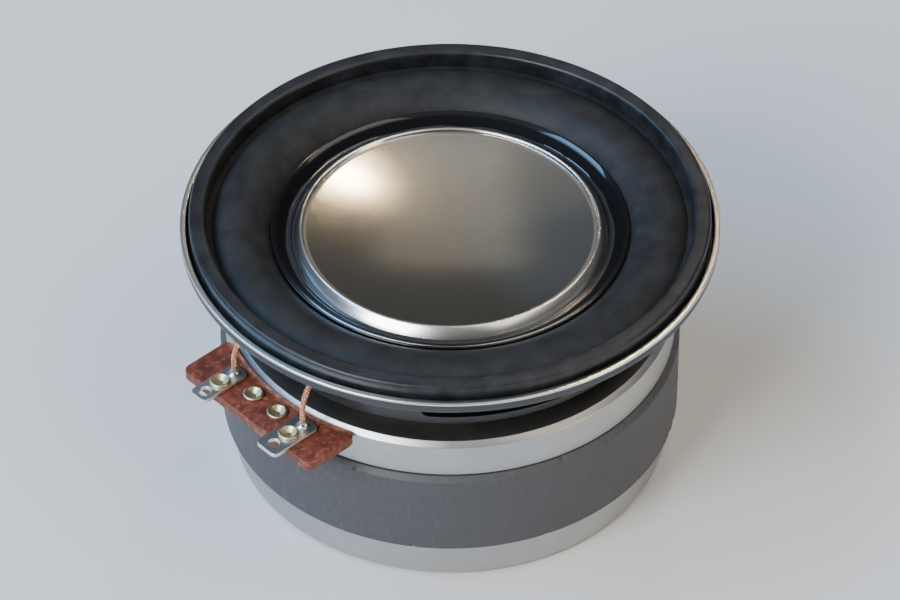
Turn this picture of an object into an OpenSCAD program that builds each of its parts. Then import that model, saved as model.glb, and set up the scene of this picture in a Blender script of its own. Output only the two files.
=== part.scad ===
// Small round full-range car driver with a concave metal dish cap, all dimensions in millimetres.
// The origin is the centre of the motor's flat rear face, and +Z points out of the cone.
// The cone, cap and coil travel along Z. The rubber surround, the spider and the two braided
// leads flex between them and the fixed frame.

/* [Frame] */
// Radius of the steel rim
rim_r = 26; // [20:0.5:40]
// Height of the rim's lip above the rear face
rim_z = 27; // [24:0.5:40]
// Thickness of the pressed steel sheet
sheet_t = 0.6; // [0.4:0.1:1.2]
// Depth of the pan inside the rim's lip
lip_h = 0.9; // [0.5:0.1:2]
// Width of the pan that carries the surround and gasket
pan_w = 3.1; // [2:0.1:6]
// Number of windows in the frame's wall
window_count = 6; // [4:1:8]
// Width of one window
window_w = 15; // [8:0.5:18]
// Height of one window
window_h = 3.6; // [2:0.1:4]
// Radius of the spider's shelf
shelf_r = 20.4; // [16:0.1:26]
// Height of the spider's shelf above the rear face
shelf_z = 20; // [19:0.1:24]

/* [Motor] */
// Radius of the ferrite magnet
magnet_r = 22.5; // [18:0.5:30]
// Radius of the hole through the magnet
magnet_hole_r = 12.5; // [11.5:0.1:16]
// Radius of the yoke's rear plate
yoke_r = 21.5; // [16:0.5:28]
// Thickness of the yoke's rear plate
yoke_t = 4; // [2:0.5:6]
// Radius of the pole
pole_r = 9.5; // [6:0.1:12]
// Thickness of the copper cap on the pole
pole_cap_t = 0.2; // [0.1:0.1:0.5]
// Radius of the top plate
plate_r = 22; // [16:0.5:28]
// Thickness of the top plate
plate_t = 4; // [2:0.5:6]
// Height of the top plate's front face above the rear face
plate_z = 18; // [12:0.5:24]
// Radius of the hole through the top plate
gap_r = 11; // [10:0.1:14]
// Thickness of each glue film on the magnet
glue_t = 0.15; // [0.05:0.05:0.3]

/* [Voice coil] */
// Inner radius of the coil former
former_r = 10; // [6.2:0.1:13]
// Wall of the coil former
former_t = 0.15; // [0.1:0.05:0.3]
// Thickness of the winding
winding_t = 0.5; // [0.3:0.1:0.8]
// Height of the winding
winding_h = 5.6; // [4:0.1:10]

/* [Cone and cap] */
// Outer radius of the cone
cone_r = 17.2; // [12:0.1:24]
// Thickness of the cone
cone_t = 0.4; // [0.2:0.1:1]
// Rise of the cone for each millimetre of radius
cone_slope = 0.64; // [0.3:0.01:1]
// Outer radius of the metal cap
cap_r = 14.6; // [8:0.1:18]
// Thickness of the cap's sheet metal
cap_t = 0.3; // [0.1:0.1:0.6]
// How far the cap's skirt flares out below its rim
cap_flare = 0.8; // [0:0.1:1]
// Depth of the dish below its own edge
dish_depth = 1.3; // [0:0.1:3]

/* [Soft parts] */
// Width of the gasket ring
gasket_w = 1.6; // [1:0.1:4]
// Height of the gasket ring
gasket_h = 1.7; // [0.5:0.1:4]
// Thickness of the rubber surround
surround_t = 0.45; // [0.3:0.05:1]
// Height of the surround's roll above the line between its two edges
roll_rise = 1.2; // [0.5:0.1:3]
// Thickness of the spider's cloth
spider_t = 0.3; // [0.2:0.05:0.6]
// Number of full waves across the spider
spider_waves = 3; // [2:1:6]

/* [Terminals] */
// Width of the terminal board
board_w = 18.2; // [12:0.2:20]
// Distance of each solder tag from the middle of the board
tag_x = 4.9; // [4:0.1:7]
// Width of the positive tag
positive_w = 2.8; // [2:0.1:4.8]
// Width of the negative tag
negative_w = 2.2; // [2:0.1:4.8]
// Radius of the hole in each tag for a wire
wire_hole_r = 0.6; // [0.4:0.1:1]
// Radius of a braided lead
lead_r = 0.3; // [0.2:0.05:0.5]

/* [Hidden] */
$fn = 96;
pan_z = rim_z - lip_h;
lip_in_r = rim_r - sheet_t;
pan_in_r = lip_in_r - pan_w;
bend_r = 0.2;

// Frame: the base ring lies on the top plate, and the wall rises from the shelf to the pan
base_hole_r = 13.5;
base_r = shelf_r - 2.8;
step_r = 0.6;
window_z = shelf_z + 0.9;
window_corner = 1;
wall_reach = 5;
stake_count = 4;
stake_ring_r = 15.2;
stake_r = 0.8;
stake_head_r = 1.1;
stake_head_t = 0.35;
stake_depth = 2;

// Motor
plate_rear_z = plate_z - plate_t;
pole_z = plate_z + 0.4;
pole_cap_skirt = 6;
chamfer = 0.5;

// Moving parts: the winding is centred in the gap
winding_z = plate_z - plate_t / 2 - winding_h / 2;
former_top_z = shelf_z + 2.6;
former_out_r = former_r + former_t;
former_h = former_top_z - winding_z + 0.4;
collar_t = 0.2;
collar_h = 2;
collar_z = shelf_z - 0.9;
cone_top_z = rim_z - 0.9;
cone_neck_r = former_out_r + 0.1;
cone_drop = cone_t * sqrt(1 + cone_slope * cone_slope);
cap_top_z = rim_z - 0.8;
bead_r = 0.35;
dish_edge_r = cap_r - 1.2;
dish_edge_z = cap_top_z - 0.55;
cap_foot_r = cap_r + cap_flare;

// Soft parts
gasket_out_r = lip_in_r - 0.3;
gasket_z = pan_z + surround_t + 0.05;
gasket_round = 0.5;
roll_in = [cone_r + 0.3, cone_top_z - 0.3];
roll_out = [pan_in_r + 0.6, pan_z + surround_t];
soft_gap = 0.03;
spider_in_r = former_out_r + collar_t + 0.05;
spider_land = 0.85;
spider_rise = 0.4;

// Terminals: an ear of the top plate carries the board, whose front is level with the plate's
board_t = 1;
board_gap = 0.15;
board_in_y = -20.6;
board_end_y = -26.6;
board_round = 0.8;
board_rivet_x = 1.7;
board_rivet_y = -24;
ear_w = 6.8;
ear_t = 1.5;
ear_end_y = -25.4;
ear_z = plate_z - board_t - ear_t;
rivet_r = 0.6;
rivet_head_r = 1;
rivet_head_t = 0.3;
tag_t = 0.4;
tag_z = plate_z;
tag_in_y = -22.7;
tag_end_y = -28.4;
tag_round = 0.6;
tag_hole_y = -27.3;
tag_rivet_y = -25.4;
solder_y = -23.6;
solder_h = 0.6;
solder_r = 0.7;
pad_r = 0.9;
pad_h = 0.5;
lead_gap = 0.05;

// Each lead lies in a plane through the axis. Its route is [radius, height], from tag to cone.
lead_angle = atan2(tag_x, -solder_y);
lead_foot_r = norm([tag_x, solder_y]);
lead_end_r = 14.2;
lead_end_z = cone_z(lead_end_r) - cone_drop;
cone_tilt = atan(cone_slope);
lead_route = [
    [lead_foot_r, tag_z + tag_t + lead_gap], [lead_foot_r, 18.8], [lead_foot_r, 19.3], [24, 20.6],
    [23.5, 21.9], [22.4, 22.9], [21, 23.3], [19.6, 23.2], [18, 22.8], [16.6, 22.4], [15.6, 22.3],
    lead_end(1.2), lead_end(0.6), lead_end(lead_gap)
];
lead_sides = 8;
lead_steps = 3;

function unit(v) = v / norm(v);
function last(list) = list[len(list) - 1];
function left_of(a, b) = let (d = unit(b - a)) [-d[1], d[0]];

// Height of the cone's front face at a radius
function cone_z(r) = cone_top_z + cone_slope * (r - cone_r);

// Point on the lead's end, a distance behind the cone's rear face and square to it
function lead_end(d) = [lead_end_r + d * sin(cone_tilt), lead_end_z - d * cos(cone_tilt)];

// Points of an arc that replaces the corner b between a and c
function bend(a, b, c, r, n) =
    let (
        u = unit(a - b), v = unit(c - b), half = acos(u * v) / 2,
        centre = b + unit(u + v) * r / sin(half),
        from = b + u * r / tan(half) - centre, to = b + v * r / tan(half) - centre,
        start = atan2(from[1], from[0]), sweep = atan2(to[1], to[0]) - start,
        turn = sweep > 180 ? sweep - 360 : sweep < -180 ? sweep + 360 : sweep
    )
    [for (i = [0:n]) centre + r * [cos(start + turn * i / n), sin(start + turn * i / n)]];

// A path with every inner corner bent to radius r, or to r + t where the path is the outside
// of the bend in a sheet of thickness t
function round_path(p, r, t = 0, n = 3) = concat(
    [p[0]],
    [
        for (i = [1:len(p) - 2])
            let (left = cross(p[i] - p[i - 1], p[i + 1] - p[i]) > 0)
            each bend(p[i - 1], p[i], p[i + 1], left ? r : r + t, n)
    ],
    [last(p)]
);

// Points of an arc from a to b that bulges to its left by rise
function arc_over(a, b, rise, n) =
    let (
        half = norm(b - a) / 2, r = (half * half + rise * rise) / (2 * rise),
        centre = (a + b) / 2 + left_of(a, b) * (rise - r),
        start = atan2(a[1] - centre[1], a[0] - centre[0]), turn = -2 * asin(half / r)
    )
    [for (i = [0:n]) centre + abs(r) * [cos(start + turn * i / n), sin(start + turn * i / n)]];

// Mitred normal at point i of a path, upright where the path starts on the axis
function miter(p, i) =
    i == 0 ? (p[0][0] == 0 ? [0, 1] : left_of(p[0], p[1])) :
    i == len(p) - 1 ? left_of(p[i - 1], p[i]) :
    let (m = left_of(p[i - 1], p[i]), n = left_of(p[i], p[i + 1])) (m + n) / (1 + m * n);

// Outline of a sheet whose front follows the path and whose back lies t behind it
function sheet(p, t) = concat(p, [for (i = [len(p) - 1:-1:0]) p[i] - t * miter(p, i)]);

// Smooth curve through the points of a route, n steps for each stretch
function spline(p, n) = [
    for (i = [0:len(p) - 2], k = [0:n - 1])
        let (
            a = p[max(i - 1, 0)], b = p[i], c = p[i + 1], d = p[min(i + 2, len(p) - 1)], t = k / n
        )
        b + t / 2 * ((c - a) + t * ((2 * a - 5 * b + 4 * c - d) + t * (3 * (b - c) + d - a))),
    last(p)
];

module ring(inner, outer, z, h) {
    translate([0, 0, z]) difference() {
        cylinder(r = outer, h = h);
        translate([0, 0, -1]) cylinder(r = inner, h = h + 2);
    }
}

module revolve(points) {
    rotate_extrude() polygon(points);
}

module rounded_square(w, h, r) {
    translate([r, 0]) square([w - 2 * r, h]);
    translate([0, r]) square([w, h - 2 * r]);
    for (x = [r, w - r], y = [r, h - r]) translate([x, y]) circle(r);
}

// Flat plate lying in XY, centred on x, between two Y positions
module plate(x, w, y0, y1, z, t, r) {
    translate([x - w / 2, y0, z]) linear_extrude(t) rounded_square(w, y1 - y0, r);
}

module rivet(z0, z1) {
    translate([0, 0, z0]) cylinder(r = rivet_r, h = z1 - z0);
    translate([0, 0, z1]) cylinder(r1 = rivet_head_r, r2 = 0.7 * rivet_head_r, h = rivet_head_t);
    translate([0, 0, z0 - rivet_head_t])
        cylinder(r1 = 0.7 * rivet_head_r, r2 = rivet_head_r, h = rivet_head_t);
}

// Tapered joint round a lead, standing on z = 0
module dab(r, h) {
    bore = lead_r + lead_gap;
    revolve([[bore, 0], [r, 0], [0.75 * r, 0.45 * h], [0.6 * r, h], [bore, h]]);
}

module window(turn, w, z0, z1) {
    rotate([0, 0, turn]) translate([-w / 2, -shelf_r + 2, z0])
        rotate([90, 0, 0]) linear_extrude(wall_reach) rounded_square(w, z1 - z0, window_corner);
}

module basket() {
    front = round_path([
        [base_hole_r, plate_z + sheet_t], [base_r - step_r, plate_z + sheet_t], [base_r, shelf_z],
        [shelf_r, shelf_z], [pan_in_r, pan_z], [lip_in_r, pan_z], [lip_in_r, rim_z]
    ], bend_r, sheet_t);
    color([0.75, 0.76, 0.78]) difference() {
        revolve(sheet(front, sheet_t));
        for (i = [0:window_count - 1])
            window(i * 360 / window_count, window_w, window_z, window_z + window_h);
        for (i = [0:stake_count - 1]) rotate([0, 0, 45 + i * 360 / stake_count])
            translate([stake_ring_r, 0, plate_z - 1]) cylinder(r = stake_r, h = sheet_t + 2);
    }
}

module basket_stakes() {
    color([0.7, 0.71, 0.73])
        for (i = [0:stake_count - 1]) rotate([0, 0, 45 + i * 360 / stake_count])
            translate([stake_ring_r, 0, plate_z - stake_depth]) {
                cylinder(r = stake_r, h = stake_depth + sheet_t);
                translate([0, 0, stake_depth + sheet_t])
                    cylinder(r1 = stake_head_r, r2 = stake_r, h = stake_head_t);
            }
}

module gasket() {
    inner = gasket_out_r - gasket_w;
    top = gasket_z + gasket_h;
    corners = [
        [inner, gasket_z], [inner, top], [gasket_out_r, top], [gasket_out_r, gasket_z]
    ];
    color([0.12, 0.12, 0.13]) revolve(round_path(corners, gasket_round, n = 5));
}

module yoke() {
    color([0.62, 0.63, 0.65]) revolve([
        [0, 0], [yoke_r - chamfer, 0], [yoke_r, chamfer], [yoke_r, yoke_t],
        [pole_r + chamfer, yoke_t], [pole_r, yoke_t + chamfer], [pole_r, pole_z], [0, pole_z]
    ]);
}

module magnet() {
    z0 = yoke_t + glue_t;
    z1 = plate_rear_z - glue_t;
    color([0.16, 0.16, 0.17]) revolve([
        [magnet_hole_r, z0], [magnet_r - chamfer, z0], [magnet_r, z0 + chamfer],
        [magnet_r, z1 - chamfer], [magnet_r - chamfer, z1], [magnet_hole_r, z1]
    ]);
}

module magnet_rear_adhesive() {
    color([0.2, 0.15, 0.1]) ring(magnet_hole_r + 1, yoke_r - chamfer, yoke_t, glue_t);
}

module magnet_front_adhesive() {
    color([0.2, 0.15, 0.1])
        ring(magnet_hole_r + 1, plate_r - chamfer, plate_rear_z - glue_t, glue_t);
}

module top_plate() {
    color([0.78, 0.79, 0.8]) difference() {
        union() {
            revolve([
                [gap_r, plate_rear_z], [plate_r, plate_rear_z], [plate_r, plate_z - chamfer],
                [plate_r - chamfer, plate_z], [gap_r, plate_z]
            ]);
            plate(0, ear_w, ear_end_y, -plate_r + 2, ear_z, ear_t, board_round);
        }
        for (i = [0:stake_count - 1]) rotate([0, 0, 45 + i * 360 / stake_count])
            translate([stake_ring_r, 0, plate_z - stake_depth])
                cylinder(r = stake_r, h = stake_depth + 1);
        for (x = [-board_rivet_x, board_rivet_x])
            translate([x, board_rivet_y, ear_z - 1]) cylinder(r = rivet_r, h = ear_t + 2);
    }
}

module pole_cap() {
    color([0.72, 0.42, 0.25]) difference() {
        translate([0, 0, pole_z - pole_cap_skirt])
            cylinder(r = pole_r + pole_cap_t, h = pole_cap_skirt + pole_cap_t);
        translate([0, 0, pole_z - pole_cap_skirt - 1]) cylinder(r = pole_r, h = pole_cap_skirt + 1);
    }
}

module terminal_board() {
    board_z = tag_z - board_t;
    color([0.42, 0.2, 0.12]) difference() {
        plate(0, board_w, board_end_y, board_in_y, board_z, board_t, board_round);
        translate([0, 0, board_z - 1]) cylinder(r = plate_r + board_gap, h = board_t + 2);
        for (x = [-board_rivet_x, board_rivet_x])
            translate([x, board_rivet_y, board_z - 1]) cylinder(r = rivet_r, h = board_t + 2);
        for (x = [-tag_x, tag_x])
            translate([x, tag_rivet_y, board_z - 1]) cylinder(r = rivet_r, h = board_t + 2);
    }
}

module board_rivets() {
    color([0.75, 0.7, 0.55])
        for (x = [-board_rivet_x, board_rivet_x])
            translate([x, board_rivet_y, 0]) rivet(ear_z, tag_z);
}

module solder_tag(x, w) {
    difference() {
        plate(x, w, tag_end_y, tag_in_y, tag_z, tag_t, tag_round);
        translate([x, tag_hole_y, tag_z - 1]) cylinder(r = wire_hole_r, h = tag_t + 2);
        translate([x, tag_rivet_y, tag_z - 1]) cylinder(r = rivet_r, h = tag_t + 2);
    }
}

module terminal_positive() {
    color([0.8, 0.8, 0.78]) solder_tag(tag_x, positive_w);
}

module terminal_negative() {
    color([0.8, 0.8, 0.78]) solder_tag(-tag_x, negative_w);
}

module terminal_rivets() {
    color([0.75, 0.7, 0.55])
        for (x = [-tag_x, tag_x])
            translate([x, tag_rivet_y, 0]) rivet(tag_z - board_t, tag_z + tag_t);
}

module solder_joints() {
    color([0.7, 0.7, 0.7])
        for (x = [-tag_x, tag_x]) translate([x, solder_y, tag_z + tag_t]) dab(solder_r, solder_h);
}

module spider_adhesive() {
    edge = shelf_r - 0.1;
    z = shelf_z + spider_t;
    color([0.3, 0.22, 0.1]) revolve([[edge - 0.7, z], [edge, z], [edge, z + 0.4], [edge - 0.3, z + 0.3]]);
}

module cone() {
    color([0.05, 0.05, 0.06])
        revolve(sheet([[cone_neck_r, cone_z(cone_neck_r)], [cone_r, cone_top_z]], cone_t));
}

module dish_cap() {
    bead = [cap_r - bead_r, cap_top_z - bead_r];
    front = concat(
        arc_over([0, dish_edge_z - dish_depth], [dish_edge_r, dish_edge_z], -dish_depth / 4, 10),
        [[dish_edge_r + 0.35, dish_edge_z - 0.1]],
        [for (a = [180:-30:30]) bead + bead_r * [cos(a), sin(a)]],
        [[cap_foot_r, cone_z(cap_foot_r) + soft_gap + 0.15 * cap_t]]
    );
    color([0.72, 0.71, 0.68]) revolve(sheet(front, cap_t));
}

module cap_adhesive() {
    foot = cap_foot_r + 0.02;
    reach = 0.5;
    color([0.06, 0.06, 0.07]) revolve([
        [foot, cone_z(foot)], [foot + reach, cone_z(foot + reach)],
        [foot + 0.4 * reach, cone_z(foot + 0.4 * reach) + 0.1], [foot, cone_z(foot) + 0.3]
    ]);
}

module former() {
    color([0.6, 0.45, 0.25])
        ring(former_r, former_out_r, former_top_z - former_h, former_h);
}

module voice_coil() {
    color([0.7, 0.35, 0.15])
        ring(former_out_r, former_out_r + winding_t, winding_z, winding_h);
}

module former_collar() {
    color([0.7, 0.6, 0.42]) ring(former_out_r, former_out_r + collar_t, collar_z, collar_h);
}

module neck_adhesive() {
    reach = 0.9;
    color([0.06, 0.06, 0.07]) revolve([
        [former_out_r, cone_z(cone_neck_r)], [cone_neck_r, cone_z(cone_neck_r)],
        [cone_neck_r + reach, cone_z(cone_neck_r + reach)],
        [former_out_r, cone_z(cone_neck_r) + reach]
    ]);
}

module lead_pads() {
    color([0.1, 0.09, 0.08])
        for (side = [-1, 1]) rotate([0, 0, side * lead_angle - 90])
            translate([lead_end_r, 0, lead_end_z]) rotate([0, 180 - cone_tilt, 0]) dab(pad_r, pad_h);
}

module surround() {
    back = cone_drop + soft_gap;
    front = concat(
        [[cone_r - 1.6, cone_z(cone_r - 1.6) - back], [cone_r, cone_z(cone_r) - back]],
        arc_over(roll_in, roll_out, roll_rise, 14),
        [[gasket_out_r, pan_z + surround_t]]
    );
    color([0.16, 0.16, 0.17]) revolve(sheet(front, surround_t - soft_gap));
}

module spider() {
    out_r = shelf_r - 0.1;
    wave_in = spider_in_r + spider_land;
    wave_w = base_r - 0.3 - wave_in;
    steps = 12 * spider_waves;
    z = shelf_z + spider_t;
    front = concat(
        [[spider_in_r, z]],
        [for (i = [0:steps]) let (t = i / steps) [
            wave_in + wave_w * t,
            z + spider_rise * sin(360 * spider_waves * t) * min(1, 5 * t, 5 * (1 - t))
        ]],
        [[out_r, z]]
    );
    color([0.72, 0.6, 0.3]) revolve(sheet(front, spider_t - soft_gap));
}

// Tube along the lead's route, in the plane through the axis on one side of -Y
module lead(side) {
    path = spline(lead_route, lead_steps);
    count = len(path);
    rings = [
        for (i = [0:count - 1], k = [0:lead_sides - 1])
            let (
                n = left_of(path[max(i - 1, 0)], path[min(i + 1, count - 1)]),
                a = 360 * k / lead_sides, c = path[i] + lead_r * cos(a) * n
            )
            [c[0], lead_r * sin(a), c[1]]
    ];
    walls = [
        for (i = [0:count - 2], k = [0:lead_sides - 1])
            let (j = (k + 1) % lead_sides, b = i * lead_sides)
            [b + k, b + j, b + lead_sides + j, b + lead_sides + k]
    ];
    ends = [
        [for (k = [lead_sides - 1:-1:0]) k],
        [for (k = [0:lead_sides - 1]) (count - 1) * lead_sides + k]
    ];
    rotate([0, 0, side * lead_angle - 90]) polyhedron(rings, concat(walls, ends));
}

module lead_positive() {
    color([0.7, 0.4, 0.25]) lead(1);
}

module lead_negative() {
    color([0.7, 0.4, 0.25]) lead(-1);
}

basket();
basket_stakes();
gasket();
yoke();
magnet();
magnet_rear_adhesive();
magnet_front_adhesive();
top_plate();
pole_cap();
terminal_board();
board_rivets();
terminal_positive();
terminal_negative();
terminal_rivets();
solder_joints();
spider_adhesive();
cone();
dish_cap();
cap_adhesive();
former();
voice_coil();
former_collar();
neck_adhesive();
lead_pads();
surround();
spider();
lead_positive();
lead_negative();
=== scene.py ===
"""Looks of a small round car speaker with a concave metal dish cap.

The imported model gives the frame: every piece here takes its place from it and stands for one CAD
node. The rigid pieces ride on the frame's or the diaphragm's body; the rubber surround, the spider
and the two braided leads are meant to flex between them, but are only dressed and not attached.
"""

from __future__ import annotations

import logging
import math
from abc import ABC, abstractmethod
from collections.abc import Callable, Mapping, Sequence
from dataclasses import dataclass
from enum import Enum

import bpy
from mathutils import Matrix, Vector, noise


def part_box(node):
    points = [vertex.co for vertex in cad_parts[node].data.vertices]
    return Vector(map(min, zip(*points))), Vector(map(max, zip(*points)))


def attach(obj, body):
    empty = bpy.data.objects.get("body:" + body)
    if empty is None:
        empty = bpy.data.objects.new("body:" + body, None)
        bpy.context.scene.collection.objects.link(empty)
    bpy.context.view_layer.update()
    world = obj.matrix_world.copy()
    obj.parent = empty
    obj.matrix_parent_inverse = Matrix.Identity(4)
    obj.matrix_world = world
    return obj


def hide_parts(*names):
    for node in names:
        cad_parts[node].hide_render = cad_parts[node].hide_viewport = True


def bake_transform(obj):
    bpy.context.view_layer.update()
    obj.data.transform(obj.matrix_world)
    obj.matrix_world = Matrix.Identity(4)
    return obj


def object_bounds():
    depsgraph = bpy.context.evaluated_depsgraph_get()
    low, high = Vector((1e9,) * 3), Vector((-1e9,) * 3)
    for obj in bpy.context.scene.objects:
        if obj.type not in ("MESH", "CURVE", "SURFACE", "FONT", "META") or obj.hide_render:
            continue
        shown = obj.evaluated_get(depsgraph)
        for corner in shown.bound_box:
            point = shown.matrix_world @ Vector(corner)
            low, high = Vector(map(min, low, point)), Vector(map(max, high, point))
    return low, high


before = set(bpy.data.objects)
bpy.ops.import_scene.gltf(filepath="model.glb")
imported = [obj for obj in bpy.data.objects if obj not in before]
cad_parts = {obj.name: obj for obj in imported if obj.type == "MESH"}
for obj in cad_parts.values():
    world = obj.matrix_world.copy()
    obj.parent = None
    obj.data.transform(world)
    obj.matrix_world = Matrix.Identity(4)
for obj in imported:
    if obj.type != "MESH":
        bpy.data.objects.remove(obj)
CAD_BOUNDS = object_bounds()

LOG = logging.getLogger("speaker")
MM = 0.001
SEGMENTS = 240

Colour = tuple[float, float, float]
Outline = list[Vector]


class Body(Enum):
    """The two rigid bodies of the speaker."""

    FRAME = "frame"
    DIAPHRAGM = "diaphragm"


# ---------------------------------------------------------------------------------------------
# Shader maths
# ---------------------------------------------------------------------------------------------


class Wire:
    """One output of a shader node, which Python's operators join to others with Math nodes."""

    def __init__(self, graph: "Graph", socket: bpy.types.NodeSocket) -> None:
        """Wrap an output socket of a graph."""
        self.graph = graph
        self.socket = socket

    def other(self, output: str) -> "Wire":
        """Another output of the same node."""
        return Wire(self.graph, self.graph.find(self.socket.node.outputs, output))

    def maths(self, operation: str, *terms: "Wire | float") -> "Wire":
        """Math node on the given terms."""
        return self.graph.node("ShaderNodeMath", {"operation": operation}, dict(enumerate(terms)))

    def __add__(self, term: "Wire | float") -> "Wire":
        """Sum."""
        return self.maths("ADD", self, term)

    def __radd__(self, term: float) -> "Wire":
        """Sum with a number on the left."""
        return self.maths("ADD", term, self)

    def __sub__(self, term: "Wire | float") -> "Wire":
        """Difference."""
        return self.maths("SUBTRACT", self, term)

    def __rsub__(self, term: float) -> "Wire":
        """Difference from a number."""
        return self.maths("SUBTRACT", term, self)

    def __mul__(self, term: "Wire | float") -> "Wire":
        """Product."""
        return self.maths("MULTIPLY", self, term)

    def __rmul__(self, term: float) -> "Wire":
        """Product with a number on the left."""
        return self.maths("MULTIPLY", term, self)


class Graph:
    """The node graph of one material or of the sky."""

    def __init__(self, owner: bpy.types.Material | bpy.types.World) -> None:
        """Start an empty graph.

        Args:
            owner: the material or world that the graph belongs to.
        """
        owner.use_nodes = True
        self.owner = owner
        self.tree = owner.node_tree
        self.tree.nodes.clear()

    @classmethod
    def of(cls, name: str) -> "Graph":
        """Graph of a new material."""
        return cls(bpy.data.materials.new(name))

    @staticmethod
    def find(sockets: bpy.types.bpy_prop_collection, key: int | str) -> bpy.types.NodeSocket:
        """Socket with this index, identifier or name.

        Args:
            sockets: a node's inputs or outputs.
            key: the index, identifier or name.

        Returns:
            The socket.
        """
        if isinstance(key, int):
            return sockets[key]
        return next((s for s in sockets if s.identifier == key), None) or sockets[key]

    def node(
        self,
        kind: str,
        settings: Mapping[str, object] | None = None,
        inputs: Mapping[int | str, object] | None = None,
        output: int | str = 0,
    ) -> Wire:
        """Add a node.

        Args:
            kind: the node's Blender type.
            settings: its properties, set first. "stops" fills a ramp with (place, colour) pairs.
            inputs: values or wires of its sockets, by index, identifier or name.
            output: the output to return.

        Returns:
            A wire from the chosen output.
        """
        made = self.tree.nodes.new(kind)
        for name, value in (settings or {}).items():
            if name == "stops":
                self._fill_ramp(made.color_ramp, value)
            else:
                setattr(made, name, value)
        for key, value in (inputs or {}).items():
            socket = self.find(made.inputs, key)
            if isinstance(value, Wire):
                self.tree.links.new(value.socket, socket)
            elif isinstance(value, tuple) and len(value) == 3 and socket.type == "RGBA":
                socket.default_value = (*value, 1.0)
            else:
                socket.default_value = value
        return Wire(self, self.find(made.outputs, output)) if len(made.outputs) else None

    @staticmethod
    def _fill_ramp(ramp: bpy.types.ColorRamp, stops: Sequence[tuple[float, Colour]]) -> None:
        """Give a ramp its stops, each a place and a colour.

        Args:
            ramp: the ramp.
            stops: places from 0 to 1, each with its colour.
        """
        while len(ramp.elements) < len(stops):
            ramp.elements.new(0.5)
        for element, (place, colour) in zip(ramp.elements, stops):
            element.position = place
            element.color = (*colour, 1.0)

    def place(self) -> Wire:
        """Place on the object, in millimetres.

        Returns:
            The place.
        """
        raw = self.node("ShaderNodeTexCoord", output="Object")
        return self.node(
            "ShaderNodeVectorMath", {"operation": "SCALE"}, {0: raw, "Scale": 1 / MM}
        )

    def axes(self, vector: Wire) -> tuple[Wire, Wire, Wire]:
        """The three parts of a vector."""
        x = self.node("ShaderNodeSeparateXYZ", inputs={0: vector}, output="X")
        return x, x.other("Y"), x.other("Z")

    def radius(self, vector: Wire) -> Wire:
        """Distance from the speaker's axis, in millimetres.

        Args:
            vector: the place.

        Returns:
            The distance.
        """
        flat = self.node(
            "ShaderNodeVectorMath", {"operation": "MULTIPLY"}, {0: vector, 1: (1.0, 1.0, 0.0)}
        )
        return self.node("ShaderNodeVectorMath", {"operation": "LENGTH"}, {0: flat}, "Value")

    def stretch(self, vector: Wire, by: Colour) -> Wire:
        """A vector scaled along each axis."""
        return self.node("ShaderNodeVectorMath", {"operation": "MULTIPLY"}, {0: vector, 1: by})

    def noise(self, vector: Wire, scale: float, detail: float = 4.0, rough: float = 0.5) -> Wire:
        """Noise from 0 to 1 at a place: scale is patches to a millimetre, detail is octaves."""
        values = {"Vector": vector, "Scale": scale, "Detail": detail, "Roughness": rough}
        return self.node("ShaderNodeTexNoise", {}, values, "Fac")

    def rings(self, distance: Wire, scale: float, detail: float = 3.0) -> Wire:
        """Noise that changes only with a distance, which makes turned or drawn lines."""
        values = {"W": distance, "Scale": scale, "Detail": detail, "Roughness": 0.7}
        return self.node("ShaderNodeTexNoise", {"noise_dimensions": "1D"}, values, "Fac")

    def cells(self, vector: Wire, scale: float) -> Wire:
        """Distance to the nearest of many scattered points."""
        return self.node("ShaderNodeTexVoronoi", {}, {"Vector": vector, "Scale": scale}, "Distance")

    def step(self, value: Wire, low: float, high: float) -> Wire:
        """Smooth step from 0 at low to 1 at high, or falling where low is above high.

        Args:
            value: what is compared.
            low: where the step is 0.
            high: where it is 1.

        Returns:
            The step.
        """
        values = {"Value": value, "From Min": low, "From Max": high}
        if low > high:
            return 1 - self.step(value, high, low)
        return self.node("ShaderNodeMapRange", {"interpolation_type": "SMOOTHSTEP"}, values)

    def mix(self, share: Wire | float, first: Wire | Colour, second: Wire | Colour) -> Wire:
        """Colour between two, by a share from 0 to 1."""
        values = {"Factor_Float": share, "A_Color": first, "B_Color": second}
        return self.node("ShaderNodeMix", {"data_type": "RGBA"}, values, "Result_Color")

    def bump(self, height: Wire, depth: float, strength: float = 1.0) -> Wire:
        """Normal of a relief from 0 to 1, with its depth in millimetres."""
        values = {"Height": height, "Distance": depth * MM, "Strength": strength}
        return self.node("ShaderNodeBump", {}, values, "Normal")

    def surface(self, **values: object) -> bpy.types.Material:
        """Finish the material with one Principled shader.

        Args:
            **values: its sockets, with underscores for spaces.

        Returns:
            The material.
        """
        inputs = {name.replace("_", " "): value for name, value in values.items()}
        shader = self.node("ShaderNodeBsdfPrincipled", {}, inputs, "BSDF")
        self.node("ShaderNodeOutputMaterial", {}, {"Surface": shader})
        return self.owner


# ---------------------------------------------------------------------------------------------
# Finishes
# ---------------------------------------------------------------------------------------------


@dataclass(frozen=True)
class Finish(ABC):
    """How one kind of surface looks. The slot is the record's material slot."""

    slot: str

    @abstractmethod
    def material(self) -> bpy.types.Material:
        """Build the finish's material."""


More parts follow.
